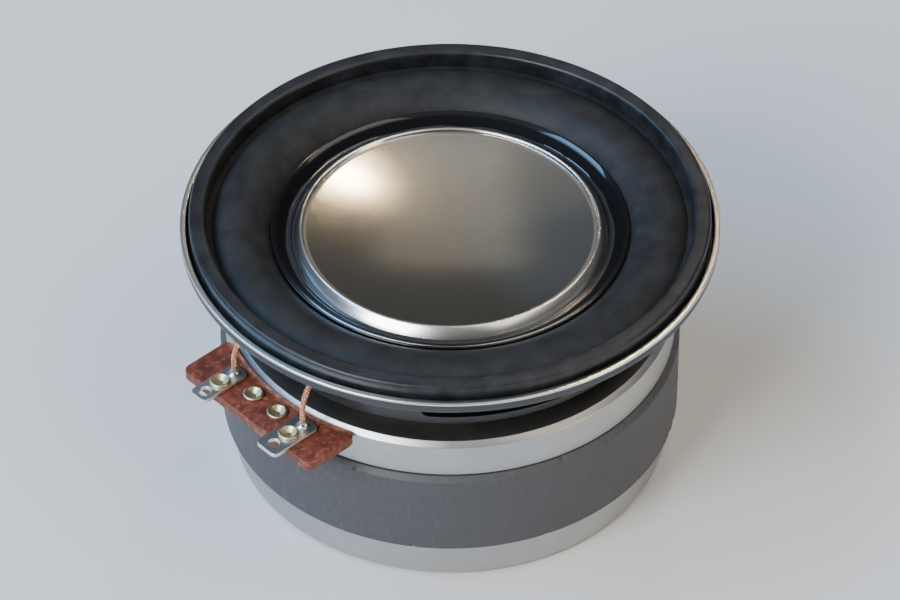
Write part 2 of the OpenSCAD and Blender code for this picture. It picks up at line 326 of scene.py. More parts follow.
@dataclass(frozen=True)
class PlatedSteel(Finish):
    """Plated steel, pressed or turned.

    Beyond the radius lip_r and above the height lip_z, in millimetres, its cut edge is bright.
    """

    tint: Colour = (0.56, 0.56, 0.56)
    rough: float = 0.3
    turned: float = 0.0
    lip_r: float = 100.0
    lip_z: float = 0.0

    def material(self) -> bpy.types.Material:
        """Cloudy plating with fine scratches, drawn or turned lines and a bright edge.

        Returns:
            The finish's material.
        """
        g = Graph.of(f"plated_steel_{self.slot}")
        place = g.place()
        radius = g.radius(place)
        height = g.axes(place)[2]
        clouds = g.noise(place, 0.35, 5.0, 0.6)
        stains = g.step(g.noise(place, 1.3, 6.0, 0.65), 0.45, 0.75)
        scratches = g.noise(g.stretch(place, (9.0, 0.8, 2.0)), 1.4, 5.0, 0.7)
        lines = g.rings(radius + height, 9.0)
        cut = g.step(height + scratches * 0.08, self.lip_z - 0.05, self.lip_z + 0.1)
        bright = g.step(radius, self.lip_r - 0.08, self.lip_r + 0.04) * cut
        worn = g.mix(clouds, self.tint, tuple(c * 0.8 for c in self.tint))
        warm = g.mix(stains * 0.3, worn, tuple(c * f for c, f in zip(self.tint, (0.95, 0.82, 0.6))))
        colour = g.mix(bright, warm, (0.86, 0.85, 0.82))
        rough = self.rough + clouds * 0.16 + scratches * 0.1
        relief = scratches * 0.5 + lines * self.turned
        return g.surface(
            Base_Color=colour,
            Metallic=1.0,
            Roughness=rough * (1 - bright * 0.45),
            Normal=g.bump(relief, 0.012, 0.55),
        )


@dataclass(frozen=True)
class SatinCap(Finish):
    """Spun metal cap: satin face, polished rolled rim and skirt."""

    face_r: float = 13.4
    face: Colour = (0.64, 0.63, 0.6)
    rim: Colour = (0.88, 0.87, 0.85)

    def material(self) -> bpy.types.Material:
        """Fine spinning lines on a satin face that turns to a polish at the rim.

        Returns:
            The finish's material.
        """
        g = Graph.of("spun_cap")
        place = g.place()
        radius = g.radius(place)
        polish = g.step(radius, self.face_r + 0.02, self.face_r + 0.22)
        lines = g.rings(radius, 14.0, 4.0)
        grain = g.noise(place, 16.0, 3.0, 0.6)
        bloom = g.noise(place, 0.28, 4.0, 0.55)
        face = g.mix(bloom * 0.6 + lines * 0.5, self.face, tuple(c * 0.8 for c in self.face))
        speck = g.step(g.noise(place, 6.0, 2.0, 0.5), 0.66, 0.8)
        colour = g.mix(polish, g.mix(speck * 0.35, face, (0.4, 0.39, 0.37)), self.rim)
        rough = 0.07 + bloom * 0.05 + grain * 0.04 + lines * 0.04
        return g.surface(
            Base_Color=colour,
            Metallic=1.0,
            Roughness=rough * (1 - polish) + polish * (0.17 + 0.08 * bloom + 0.04 * grain),
            Normal=g.bump((lines * 0.6 + grain * 0.4) * (1 - polish * 0.93), 0.006, 0.35),
        )


@dataclass(frozen=True)
class Rubber(Finish):
    """Moulded rubber with a fine skin texture and a little bloom."""

    base: Colour = (0.03, 0.03, 0.032)
    bloom: Colour = (0.07, 0.068, 0.066)
    rough: float = 0.55
    grain: float = 0.5
    shine: float = 0.26

    def material(self) -> bpy.types.Material:
        """Patchy bloom, moulded grain and specks of dust.

        Returns:
            The finish's material.
        """
        g = Graph.of(f"rubber_{self.slot}")
        place = g.place()
        radius = g.radius(place)
        clouds = g.noise(place, 0.5, 5.0, 0.6)
        grain = g.noise(place, 11.0, 4.0, 0.6)
        flow = g.rings(radius, 2.2, 2.0)
        dust = g.step(g.cells(place, 2.6), 0.06, 0.02)
        skin = g.mix(g.step(clouds, 0.3, 0.75), self.base, self.bloom)
        fine = g.mix(g.step(grain, 0.45, 0.8) * 0.35, skin, self.bloom)
        return g.surface(
            Base_Color=g.mix(dust * 0.3, fine, (0.3, 0.29, 0.27)),
            Roughness=self.rough + clouds * 0.12 + flow * 0.08 - 0.08,
            Specular_IOR_Level=self.shine,
            Normal=g.bump(grain * self.grain + flow * 0.25, 0.03, 0.4),
        )


@dataclass(frozen=True)
class PressedCone(Finish):
    """Black pressed fibre, with a glossy coat round its edge."""

    gloss_from: float = 16.75
    base: Colour = (0.0022, 0.0022, 0.0026)

    def material(self) -> bpy.types.Material:
        """Short fibres, pressed rings and the edge's coat.

        Returns:
            The finish's material.
        """
        g = Graph.of("pressed_cone")
        place = g.place()
        radius = g.radius(place)
        fibres = g.noise(g.stretch(place, (1.0, 1.0, 2.5)), 5.0, 6.0, 0.7)
        rings = g.rings(radius, 3.0, 2.0)
        coat = g.step(radius + fibres * 0.2, self.gloss_from, self.gloss_from + 0.3)
        colour = g.mix(g.step(fibres, 0.4, 0.8), self.base, tuple(c * 2.6 for c in self.base))
        return g.surface(
            Base_Color=colour,
            Roughness=0.5 + fibres * 0.2 - coat * 0.3,
            Coat_Weight=coat,
            Coat_Roughness=0.07,
            Coat_IOR=1.55,
            Specular_IOR_Level=0.06,
            Normal=g.bump((fibres * 0.7 + rings * 0.3) * (1 - coat * 0.8), 0.03, 0.5),
        )


@dataclass(frozen=True)
class Glue(Finish):
    """Cured glue, glossy and slightly uneven."""

    base: Colour = (0.012, 0.012, 0.014)
    rough: float = 0.1

    def material(self) -> bpy.types.Material:
        """Gloss with soft waves and tiny bubbles.

        Returns:
            The finish's material.
        """
        g = Graph.of(f"glue_{self.slot}")
        place = g.place()
        waves = g.noise(place, 0.9, 3.0, 0.5)
        bubbles = g.step(g.cells(place, 3.4), 0.1, 0.03)
        return g.surface(
            Base_Color=g.mix(waves, self.base, tuple(c * 1.7 for c in self.base)),
            Roughness=self.rough + waves * 0.14,
            Coat_Weight=0.5,
            Coat_Roughness=0.06,
            Normal=g.bump(waves + bubbles * 0.2, 0.05, 0.4),
        )


@dataclass(frozen=True)
class Ferrite(Finish):
    """Sintered ferrite with ground faces."""

    base: Colour = (0.03, 0.03, 0.033)

    def material(self) -> bpy.types.Material:
        """Dark grain, paler grinding marks on the flats and small chips, darkened inside with
        painted shade.

        Returns:
            The finish's material.
        """
        g = Graph.of("ferrite")
        place = g.place()
        grain = g.noise(place, 7.0, 6.0, 0.7)
        clouds = g.noise(place, 0.4, 4.0, 0.5)
        # Small pits: dented by the bump and darkened in colour as painted shade.
        pits_and_shade = g.step(g.cells(place, 1.6), 0.12, 0.05)
        marks = g.noise(g.stretch(place, (0.5, 6.0, 0.5)), 2.0, 4.0, 0.6)
        dark = g.mix(grain, self.base, tuple(c * 2.3 for c in self.base))
        colour = g.mix(g.step(marks, 0.5, 0.8) * 0.3, dark, (0.16, 0.16, 0.17))
        return g.surface(
            # The darker colour in the pits is painted shade.
            Base_Color=g.mix(pits_and_shade * 0.6, colour, (0.02, 0.02, 0.022)),
            Roughness=0.5 + grain * 0.25 - clouds * 0.1,
            Specular_IOR_Level=0.6,
            Normal=g.bump(grain * 0.6 - pits_and_shade, 0.05, 0.6),
        )


@dataclass(frozen=True)
class Phenolic(Finish):
    """Punched phenolic paper board, red-brown and mottled."""

    arc_r: float = 22.15

    def material(self) -> bpy.types.Material:
        """Mottled paper fibres, and a paler strip along the punched inner edge: frayed fibres and a
        painted highlight.

        Returns:
            The finish's material.
        """
        g = Graph.of("phenolic")
        place = g.place()
        fibres = g.noise(g.stretch(place, (1.0, 3.0, 6.0)), 1.7, 6.0, 0.7)
        mottle = g.noise(place, 0.9, 5.0, 0.65)
        flecks = g.step(g.noise(place, 2.2, 4.0, 0.6), 0.52, 0.66)
        # Paler strip along the inner edge: partly frayed punched fibres, partly a painted highlight
        # of the edge.
        fray_and_highlight = g.step(g.radius(place) - mottle * 1.3, self.arc_r + 0.1, self.arc_r - 0.6)
        board = g.mix(g.step(mottle, 0.3, 0.7), (0.08, 0.018, 0.009), (0.215, 0.05, 0.025))
        spotted = g.mix(flecks * 0.4, board, (0.42, 0.17, 0.11))
        return g.surface(
            # The inner-edge strip mixed in here is frayed fibres plus a painted highlight.
            Base_Color=g.mix(fray_and_highlight * (0.35 + flecks * 0.6), spotted, (0.62, 0.3, 0.21)),
            Roughness=0.42 + fibres * 0.2,
            Normal=g.bump(fibres * 0.6 + fray_and_highlight * flecks * 0.4, 0.05, 0.6),
        )


@dataclass(frozen=True)
class BrightMetal(Finish):
    """Tin, solder, brass or copper: one metal colour with a lived-in surface."""

    base: Colour = (0.7, 0.69, 0.66)
    stain: Colour = (0.4, 0.38, 0.34)
    rough: float = 0.25
    lumps: float = 0.4

    def material(self) -> bpy.types.Material:
        """Soft lumps, dull patches and fine handling marks.

        Returns:
            The finish's material.
        """
        g = Graph.of(f"metal_{self.slot}")
        place = g.place()
        clouds = g.noise(place, 1.6, 5.0, 0.6)
        marks = g.noise(g.stretch(place, (2.0, 8.0, 3.0)), 2.5, 4.0, 0.6)
        return g.surface(
            Base_Color=g.mix(g.step(clouds, 0.45, 0.8) * 0.6, self.base, self.stain),
            Metallic=1.0,
            Roughness=self.rough + clouds * 0.2 + marks * 0.08,
            Normal=g.bump(clouds * self.lumps + marks * 0.3, 0.04, 0.5),
        )


@dataclass(frozen=True)
class WovenCloth(Finish):
    """Resin-treated woven cloth of the spider."""

    base: Colour = (0.5, 0.3, 0.07)
    thread: Colour = (0.78, 0.58, 0.24)
    pitch: float = 0.42

    def material(self) -> bpy.types.Material:
        """Plain weave of threads along X and Y, stiffened by amber resin.

        Returns:
            The finish's material.
        """
        g = Graph.of("woven_cloth")
        place = g.place()
        x, y, _ = g.axes(place)
        turn = 2 * math.pi / self.pitch
        warp = x.maths("SINE", x * turn)
        weft = y.maths("SINE", y * turn)
        weave = (warp * weft) * 0.5 + 0.5
        resin = g.noise(place, 0.7, 5.0, 0.6)
        fuzz = g.noise(place, 14.0, 3.0, 0.6)
        cloth = g.mix(weave, self.base, self.thread)
        return g.surface(
            Base_Color=g.mix(g.step(resin, 0.35, 0.75) * 0.5, cloth, (0.36, 0.19, 0.04)),
            Roughness=0.75 - resin * 0.25,
            Sheen_Weight=0.15,
            Normal=g.bump(weave + fuzz * 0.3, 0.06, 0.8),
        )


@dataclass(frozen=True)
class Paper(Finish):
    """Kraft paper collar or thin former sheet."""

    base: Colour = (0.5, 0.36, 0.2)
    metallic: float = 0.0

    def material(self) -> bpy.types.Material:
        """Long fibres and darker flecks.

        Returns:
            The finish's material.
        """
        g = Graph.of(f"paper_{self.slot}")
        place = g.place()
        fibres = g.noise(g.stretch(place, (1.0, 1.0, 5.0)), 3.0, 6.0, 0.7)
        flecks = g.step(g.noise(place, 5.0, 2.0, 0.5), 0.62, 0.76)
        colour = g.mix(fibres, tuple(c * 0.75 for c in self.base), self.base)
        return g.surface(
            Base_Color=g.mix(flecks * 0.4, colour, (0.2, 0.13, 0.07)),
            Metallic=self.metallic,
            Roughness=0.5 + fibres * 0.3,
            Normal=g.bump(fibres, 0.03, 0.5),
        )


@dataclass(frozen=True)
class FloorPaper(Finish):
    """Plain pale studio floor."""

    base: Colour = (0.66, 0.675, 0.69)

    def material(self) -> bpy.types.Material:
        """Pale sheet with a barely visible tooth.

        Returns:
            The finish's material.
        """
        g = Graph.of("studio_floor")
        place = g.place()
        tooth = g.noise(place, 1.2, 4.0, 0.6)
        cloud = g.noise(place, 0.004, 2.0, 0.5)
        warm = g.mix(g.step(cloud, 0.3, 0.7), self.base, (0.7, 0.695, 0.68))
        return g.surface(
            Base_Color=warm,
            Roughness=0.55 + tooth * 0.1,
            Specular_IOR_Level=0.3,
            Normal=g.bump(tooth, 0.03, 0.2),
        )


# ---------------------------------------------------------------------------------------------
# Outlines and meshes
# ---------------------------------------------------------------------------------------------


def point(x: float, y: float) -> Vector:
    """Point of an outline, in millimetres."""
    return Vector((x, y))


def arc(centre: Vector, radius: float, start: float, end: float, steps: int) -> Outline:
    """Points of an arc round a centre, from a start to an end angle in degrees."""
    turns = [math.radians(start + (end - start) * i / steps) for i in range(steps + 1)]
    return [centre + radius * point(math.cos(a), math.sin(a)) for a in turns]


def arc_over(start: Vector, end: Vector, rise: float, steps: int) -> Outline:
    """Points of an arc between two points that bulges to its left by a rise.

    Args:
        start: first point.
        end: last point.
        rise: height of the arc above its chord, negative to bulge right.
        steps: number of stretches.

    Returns:
        The points.
    """
    half = (end - start).length / 2
    radius = (half * half + rise * rise) / (2 * rise)
    along = (end - start).normalized()
    centre = (start + end) / 2 + point(-along.y, along.x) * (rise - radius)
    first = start - centre
    begin = math.degrees(math.atan2(first.y, first.x))
    sweep = -2 * math.degrees(math.asin(half / radius))
    return arc(centre, abs(radius), begin, begin + sweep, steps)


def bend(a: Vector, b: Vector, c: Vector, radius: float, steps: int) -> Outline:
    """Arc that replaces the corner b between a and c.

    Args:
        a: the corner before.
        b: the corner that is bent.
        c: the corner after.
        radius: the bend's radius.
        steps: number of stretches.

    Returns:
        The points of the bend.
    """
    u, v = (a - b).normalized(), (c - b).normalized()
    half = math.acos(max(-1.0, min(1.0, u.dot(v)))) / 2
    centre = b + (u + v).normalized() * radius / math.sin(half)
    first = b + u * radius / math.tan(half) - centre
    last = b + v * radius / math.tan(half) - centre
    start = math.degrees(math.atan2(first.y, first.x))
    sweep = math.degrees(math.atan2(last.y, last.x)) - start
    turn = (sweep + 180) % 360 - 180
    return arc(centre, radius, start, start + turn, steps)


def rounded(
    path: Outline, radius: float, sheet: float = 0.0, steps: int = 6, closed: bool = False
) -> Outline:
    """A path with its corners bent.

    Args:
        path: the corners.
        radius: inner radius of each bend.
        sheet: sheet thickness, added where the path is the outside of a bend.
        steps: stretches to a bend.
        closed: whether the last corner joins the first.

    Returns:
        The smooth path.
    """
    count = len(path)
    made: Outline = [] if closed else [path[0]]
    for i in range(count) if closed else range(1, count - 1):
        a, b, c = path[i - 1], path[i], path[(i + 1) % count]
        left = (b - a).cross(c - b) > 0
        made += bend(a, b, c, radius if left or not sheet else radius + sheet, steps)
    return made if closed else [*made, path[-1]]


def sheet_outline(front: Outline, thickness: float) -> Outline:
    """Outline of a sheet whose front follows a path.

    Args:
        front: the front face, from the axis outwards.
        thickness: the sheet's thickness behind it.

    Returns:
        The closed outline.
    """

    def left(a: Vector, b: Vector) -> Vector:
        """Unit normal to the left of a stretch."""
        along = (b - a).normalized()
        return point(-along.y, along.x)

    back = []
    for i, here in enumerate(front):
        if i == 0:
            shift = point(0, 1) if here.x < 1e-6 else left(front[0], front[1])
        elif i == len(front) - 1:
            shift = left(front[i - 1], here)
        else:
            m, n = left(front[i - 1], here), left(here, front[i + 1])
            shift = (m + n) / (1 + m.dot(n))
        back.append(here - thickness * shift)
    return [*front, *reversed(back)]


def softened(outline: Outline, radius: float, steps: int = 3) -> Outline:
    """A closed outline whose sharp corners are rounded, for edges that catch light.

    Args:
        outline: the outline.
        radius: radius of the corners, less where a side is short.
        steps: stretches to a corner.

    Returns:
        The softened outline.
    """
    count = len(outline)
    made: Outline = []
    for i, here in enumerate(outline):
        a, c = outline[i - 1], outline[(i + 1) % count]
        u, v = here - a, c - here
        reach = min(u.length, v.length) * 0.45
        sharp = u.length > 1e-6 and v.length > 1e-6 and abs(u.angle(v)) > math.radians(32)
        if not sharp or (here.x < 1e-6):
            made.append(here)
            continue
        half = (math.pi - u.angle(v)) / 2
        size = min(radius, reach * math.tan(half))
        made += bend(a, here, c, size, steps)
    return made


def new_object(
    name: str, verts: Sequence[Vector], faces: Sequence[Sequence[int]]
) -> bpy.types.Object:
    """Object from points in millimetres and faces, shaded smooth except at sharp edges.

    Args:
        name: the object's name.
        verts: its points.
        faces: its faces.

    Returns:
        The object, linked to the scene.
    """
    mesh = bpy.data.meshes.new(name)
    mesh.from_pydata([Vector(v) * MM for v in verts], [], faces)
    mesh.validate()
    piece = bpy.data.objects.new(name, mesh)
    bpy.context.scene.collection.objects.link(piece)
    return shade(piece)


def shade(piece: bpy.types.Object, angle: float = 34.0) -> bpy.types.Object:
    """Smooth shading, with edges sharper than an angle in degrees kept crisp.

    Args:
        piece: the object.
        angle: the angle in degrees.

    Returns:
        The same object.
    """
    piece.data.shade_smooth()
    piece.data.set_sharp_from_angle(angle=math.radians(angle))
    return piece


def revolve(
    name: str,
    outline: Outline,
    segments: int = SEGMENTS,
    ripple: Callable[[Vector, Vector], Vector] | None = None,
) -> bpy.types.Object:
    """Turn a closed outline about the speaker's axis.

    Args:
        name: the object's name.
        outline: its cross-section, as radius and height, in millimetres.
        segments: steps round the axis.
        ripple: shift of a point of the outline at a direction, for uneven beads.

    Returns:
        The turned object.
    """
    turns = [2 * math.pi * k / segments for k in range(segments)]
    ways = [Vector((math.cos(a), math.sin(a), 0.0)) for a in turns]
    verts: list[Vector] = []
    loops: list[list[int]] = []
    for p in outline:
        first = len(verts)
        if p.x < 1e-6:
            verts.append(Vector((0.0, 0.0, p.y)))
            loops.append([first] * segments)
            continue
        for way in ways:
            q = p + ripple(p, way) if ripple else p
            verts.append(Vector((way.x * q.x, way.y * q.x, q.y)))
        loops.append(list(range(first, first + segments)))
    faces = []
    for i, here in enumerate(loops):
        there = loops[(i + 1) % len(loops)]
        for k in range(segments):
            n = (k + 1) % segments
            ring = [here[k], here[n], there[n], there[k]]
            face = [v for j, v in enumerate(ring) if v != ring[j - 1]]
            if len(set(face)) >= 3:
                faces.append(list(dict.fromkeys(face)))
    area = sum(a.cross(b) for a, b in zip(outline, outline[1:] + outline[:1]))
    if area > 0:
        faces = [face[::-1] for face in faces]
    return new_object(name, verts, faces)


def tube(
    centres: Sequence[Vector], radius: float, sides: int
) -> tuple[list[Vector], list[list[int]]]:
    """Round tube along a line of points, closed at both ends.

    Args:
        centres: the line, in millimetres.
        radius: the tube's radius.
        sides: sides of the tube.

    Returns:
        Its points and faces.
    """
    verts: list[Vector] = []
    faces: list[list[int]] = []
    side = Vector((1.0, 0.0, 0.0))
    for i, centre in enumerate(centres):
        along = (centres[min(i + 1, len(centres) - 1)] - centres[max(i - 1, 0)]).normalized()
        side = (side - along * side.dot(along)).normalized()
        up = along.cross(side)
        for k in range(sides):
            a = 2 * math.pi * k / sides
            verts.append(centre + radius * (math.cos(a) * side + math.sin(a) * up))
        if i:
            b = (i - 1) * sides
            faces += [
                [b + k, b + (k + 1) % sides, b + sides + (k + 1) % sides, b + sides + k]
                for k in range(sides)
            ]
    last = (len(centres) - 1) * sides
    faces.append(list(range(sides))[::-1])
    faces.append([last + k for k in range(sides)])
    return verts, faces


def plate(
    name: str, outlines: Sequence[Outline], low: float, high: float, edge: float
) -> bpy.types.Object:
    """Flat plate with rounded edges, cut from outlines.

    Args:
        name: the object's name.
        outlines: the outer outline, then its holes, in millimetres.
        low: height of its rear face.
        high: height of its front face.
        edge: radius of its rounded edges.

    Returns:
        The plate.
    """
    curve = bpy.data.curves.new(name, "CURVE")
    curve.dimensions = "2D"
    curve.fill_mode = "BOTH"
    for outline in outlines:
        spline = curve.splines.new("POLY")
        spline.points.add(len(outline) - 1)
        for p, q in zip(spline.points, outline):
            p.co = (q.x * MM, q.y * MM, 0.0, 1.0)
        spline.use_cyclic_u = True
    curve.extrude = ((high - low) / 2 - edge) * MM
    curve.bevel_depth = edge * MM
    curve.bevel_resolution = 3
    curve.offset = -edge * MM
    carrier = bpy.data.objects.new(name + "_curve", curve)
    bpy.context.scene.collection.objects.link(carrier)
    mesh = bpy.data.meshes.new_from_object(
        carrier.evaluated_get(bpy.context.evaluated_depsgraph_get())
    )
    mesh.name = name
    bpy.data.objects.remove(carrier)
    piece = bpy.data.objects.new(name, mesh)
    bpy.context.scene.collection.objects.link(piece)
    return shade(moved(piece, 0.0, 0.0, (low + high) / 2), 40.0)


def band(size: "Ring") -> Outline:
    """Four corners of a plain ring's cross-section, from its inner lower one."""
    return box_corners(size.inner, size.outer, size.low, size.high)


def box_corners(x0: float, x1: float, y0: float, y1: float) -> Outline:
    """Corners of a rectangle, anticlockwise."""
    return [point(x0, y0), point(x1, y0), point(x1, y1), point(x0, y1)]


def box_outline(x0: float, x1: float, y0: float, y1: float, radius: float) -> Outline:
    """Rounded rectangle, anticlockwise."""
    return rounded(box_corners(x0, x1, y0, y1), radius, steps=6, closed=True)


def hole_outline(x: float, y: float, radius: float) -> Outline:
    """Round hole, clockwise."""
    return arc(point(x, y), radius, 0.0, -360.0, 40)[:-1]


def moved(piece: bpy.types.Object, x: float, y: float, z: float = 0.0) -> bpy.types.Object:
    """The piece, with its mesh shifted by millimetres."""
    piece.data.transform(Matrix.Translation((x * MM, y * MM, z * MM)))
    return piece


def joined(name: str, pieces: Sequence[bpy.types.Object]) -> bpy.types.Object:
    """Several objects made into one.

    Args:
        name: the new object's name.
        pieces: the objects.

    Returns:
        The first of them, which now holds them all.
    """
    first = pieces[0]
    with bpy.context.temp_override(active_object=first, selected_editable_objects=list(pieces)):
        bpy.ops.object.join()
    first.name = name
    return first


def combined(
    piece: bpy.types.Object, tools: Sequence[bpy.types.Object], operation: str
) -> bpy.types.Object:
    """Apply Boolean tools to a piece and remove them.

    Args:
        piece: the object that is changed.
        tools: the objects that change it.
        operation: UNION or DIFFERENCE.

    Returns:
        The changed piece.
    """
    for tool in tools:
        modifier = piece.modifiers.new("cut", "BOOLEAN")
        modifier.operation = operation
        modifier.solver = "EXACT"
        modifier.object = tool
    view = bpy.context.evaluated_depsgraph_get()
    mesh = bpy.data.meshes.new_from_object(piece.evaluated_get(view))
    piece.modifiers.clear()
    piece.data = mesh
    for tool in tools:
        bpy.data.objects.remove(tool)
    return shade(piece)


def uneven(strength: float, pitch: float, seed: float) -> Callable[[Vector, Vector], Vector]:
    """Ripple for a glue bead.

    Args:
        strength: largest shift in millimetres.
        pitch: waves round the bead.
        seed: offset that sets one bead apart from another.

    Returns:
        The ripple.
    """

    def shift(p: Vector, way: Vector) -> Vector:
        """Shift of one point."""
        base = Vector((way.x * pitch + seed, way.y * pitch, p.y * 0.4))
        return point(noise.noise(base), noise.noise(base + Vector((7.0, 3.0, 1.0)))) * strength

    return shift


@dataclass(frozen=True)
class Ring:
    """Measured size of a round CAD node, in millimetres."""

    inner: float
    outer: float
    low: float
    high: float

    @classmethod
    def of(cls, node: str) -> "Ring":
        """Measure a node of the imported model.

        Args:
            node: the node's name.

        Returns:
            Its inner and outer radius and its lowest and highest point.
        """
        low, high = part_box(node)
        radii = [math.hypot(v.co.x, v.co.y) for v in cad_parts[node].data.vertices]
        return cls(min(radii) / MM, max(radii) / MM, low.z / MM, high.z / MM)


def settle(piece: bpy.types.Object, finish: Finish, body: Body, *nodes: str) -> None:
    """Dress a piece, put it on its body and let it stand for its CAD nodes.

    Args:
        piece: the finished mesh.
        finish: its finish.
        body: the body it rides on.
        *nodes: the CAD nodes it stands for.
    """
    dress(piece, finish)
    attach(piece, body.value)
    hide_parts(*nodes)
    LOG.info("%s rides on %s", piece.name, body.value)


def dress(piece: bpy.types.Object, finish: Finish) -> None:
    """Give a piece its finish.

    Args:
        piece: the object.
        finish: its finish.
    """
    piece.data.materials.clear()
    piece.data.materials.append(finish.material())


def flex(
    piece: bpy.types.Object, finish: Finish, node: str, share: Callable[[Vector], float]
) -> None:
    """Dress a piece meant to flex between the frame and the diaphragm and hide its CAD node; its
    share is worked out but not applied, and the piece is attached to neither body.

    Args:
        piece: the finished mesh.
        finish: its finish.
        node: the CAD node it stands for.
        share: how far a point, in millimetres, follows the diaphragm, from 0 to 1.
    """
    dress(piece, finish)
    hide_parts(node)
    low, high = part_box(node)
    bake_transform(piece)
    for vertex in piece.data.vertices:
        t = max(0.0, min(1.0, share(vertex.co / MM)))
        t * t * (3 - 2 * t)
    LOG.info("%s flexes between %s and %s", piece.name, Body.FRAME.value, Body.DIAPHRAGM.value)


# ---------------------------------------------------------------------------------------------
# Sub-assemblies
# ---------------------------------------------------------------------------------------------


@dataclass(frozen=True)
class ConeForm:
    """Form of the pressed cone, which the pieces that meet it share. Sizes in millimetres."""

    sheet: float = 0.4
    slope: float = 0.64

    @property
    def tilt(self) -> float:
        """Angle of the cone's wall."""
        return math.atan(self.slope)

    @property
    def edge_r(self) -> float:
        """Radius of the front face's outer edge."""
        return Ring.of("cone").outer - self.sheet * math.sin(self.tilt)

    def front_z(self, r: float) -> float:
        """Height of the front face at a radius."""
        return Ring.of("cone").high + self.slope * (r - self.edge_r)


CONE = ConeForm()


@dataclass(frozen=True)
class Chassis:
    """Pressed steel frame with its windows and gasket. Sizes in millimetres."""

    sheet: float = 0.6
    lip_h: float = 0.9
    pan_w: float = 3.1
    shelf_r: float = 20.4
    shelf_z: float = 20.0
    foot_r: float = 17.6
    foot_step: float = 0.6
    bend_r: float = 0.2
    windows: int = 6
    window_w: float = 15.0
    window_h: float = 3.6
    window_lift: float = 0.9
    stake_count: int = 4
    stake_depth: float = 2.0
    stake_shank_r: float = 0.8
    crown_r: float = 0.34

    def build(self) -> None:
        """Make the frame, its stakes and the gasket."""
        size = Ring.of("basket")
        lip = (size.outer - self.sheet, size.high - 0.2)
        steel = PlatedSteel("frame_steel", (0.1, 0.1, 0.105), 0.3, 0.25, *lip)
        settle(self.pressing(), steel, Body.FRAME, "basket")
        stakes = PlatedSteel("stake_steel", (0.6, 0.6, 0.61), 0.28, 0.1)
        settle(self.stakes(), stakes, Body.FRAME, "basket_stakes")
        dark, bloom = (0.007, 0.0078, 0.0096), (0.022, 0.025, 0.031)
        rubber = Rubber("gasket_rubber", dark, bloom, 0.34, 0.4, 0.36)
        settle(self.gasket(), rubber, Body.FRAME, "gasket")

    def front_path(self) -> Outline:
        """Front face of the pressed sheet, from the base's hole to the lip's top.

        Returns:
            The path.
        """
        size = Ring.of("basket")
        lip_in = size.outer - self.sheet
        pan_z = size.high - self.lip_h
        corners = [
            point(size.inner, size.low + self.sheet),
            point(self.foot_r - self.foot_step, size.low + self.sheet),
            point(self.foot_r, self.shelf_z),
            point(self.shelf_r, self.shelf_z),
            point(lip_in - self.pan_w, pan_z),
            point(lip_in, pan_z),
            point(lip_in, size.high),
        ]
        return rounded(corners, self.bend_r, self.sheet, 5)

    def pressing(self) -> bpy.types.Object:
        """The frame: a turned sheet with windows cut in its wall.

        Returns:
            The frame.
        """
        outline = softened(sheet_outline(self.front_path(), self.sheet), 0.12, 4)
        body = revolve("basket", outline)
        cuts = [self.cutter(i * 360 / self.windows) for i in range(self.windows)]
        return combined(body, cuts, "DIFFERENCE")

    def cutter(self, turn: float) -> bpy.types.Object:
        """Block that cuts one rounded window, at a direction from -Y in degrees.

        Args:
            turn: the direction.

        Returns:
            The block.
        """
        half = self.window_w / 2
        low = self.shelf_z + self.window_lift
        outline = box_outline(-half, half, low, low + self.window_h, 1.0)
        block = plate("cutter", [outline], self.shelf_r - 2.0, self.shelf_r + 3.0, 0.0)
        swing = Matrix.Rotation(math.radians(turn), 4, "Z") @ Matrix.Rotation(math.pi / 2, 4, "X")
        block.data.transform(swing)
        return block

    def stakes(self) -> bpy.types.Object:
        """Domed stake heads in a ring on the base.

        Returns:
            The stakes.
        """
        size = Ring.of("basket_stakes")
        head = size.high - size.low - self.stake_depth
        ring_r = (size.inner + size.outer) / 2
        radius = (size.outer - size.inner) / 2
        profile = [
            point(0.0, size.low),
            point(self.stake_shank_r, size.low),
            point(self.stake_shank_r, size.high - head + 0.24),
            point(radius, size.high - head + 0.26),
            *arc(point(radius - 0.22, size.high - 0.22), 0.22, 0.0, 90.0, 5),
            point(0.35, size.high),
            point(0.2, size.high - 0.12),
            point(0.0, size.high - 0.12),
        ]
        heads = []
        for k in range(self.stake_count):
            turn = math.radians(45 + 360 * k / self.stake_count)
            stake = revolve("stake", profile, 48)
            heads.append(moved(stake, ring_r * math.cos(turn), ring_r * math.sin(turn)))
        return joined("basket_stakes", heads)

    def gasket(self) -> bpy.types.Object:
        """Raised rubber ring with a rounded crown.

        Returns:
            The gasket.
        """
        low_in, low_out, high_out, high_in = band(Ring.of("gasket"))
        crown = rounded([low_in, high_in, high_out, low_out], self.crown_r, steps=10)
        return revolve("gasket", softened(crown, 0.08), ripple=uneven(0.012, 9.0, 2.0))


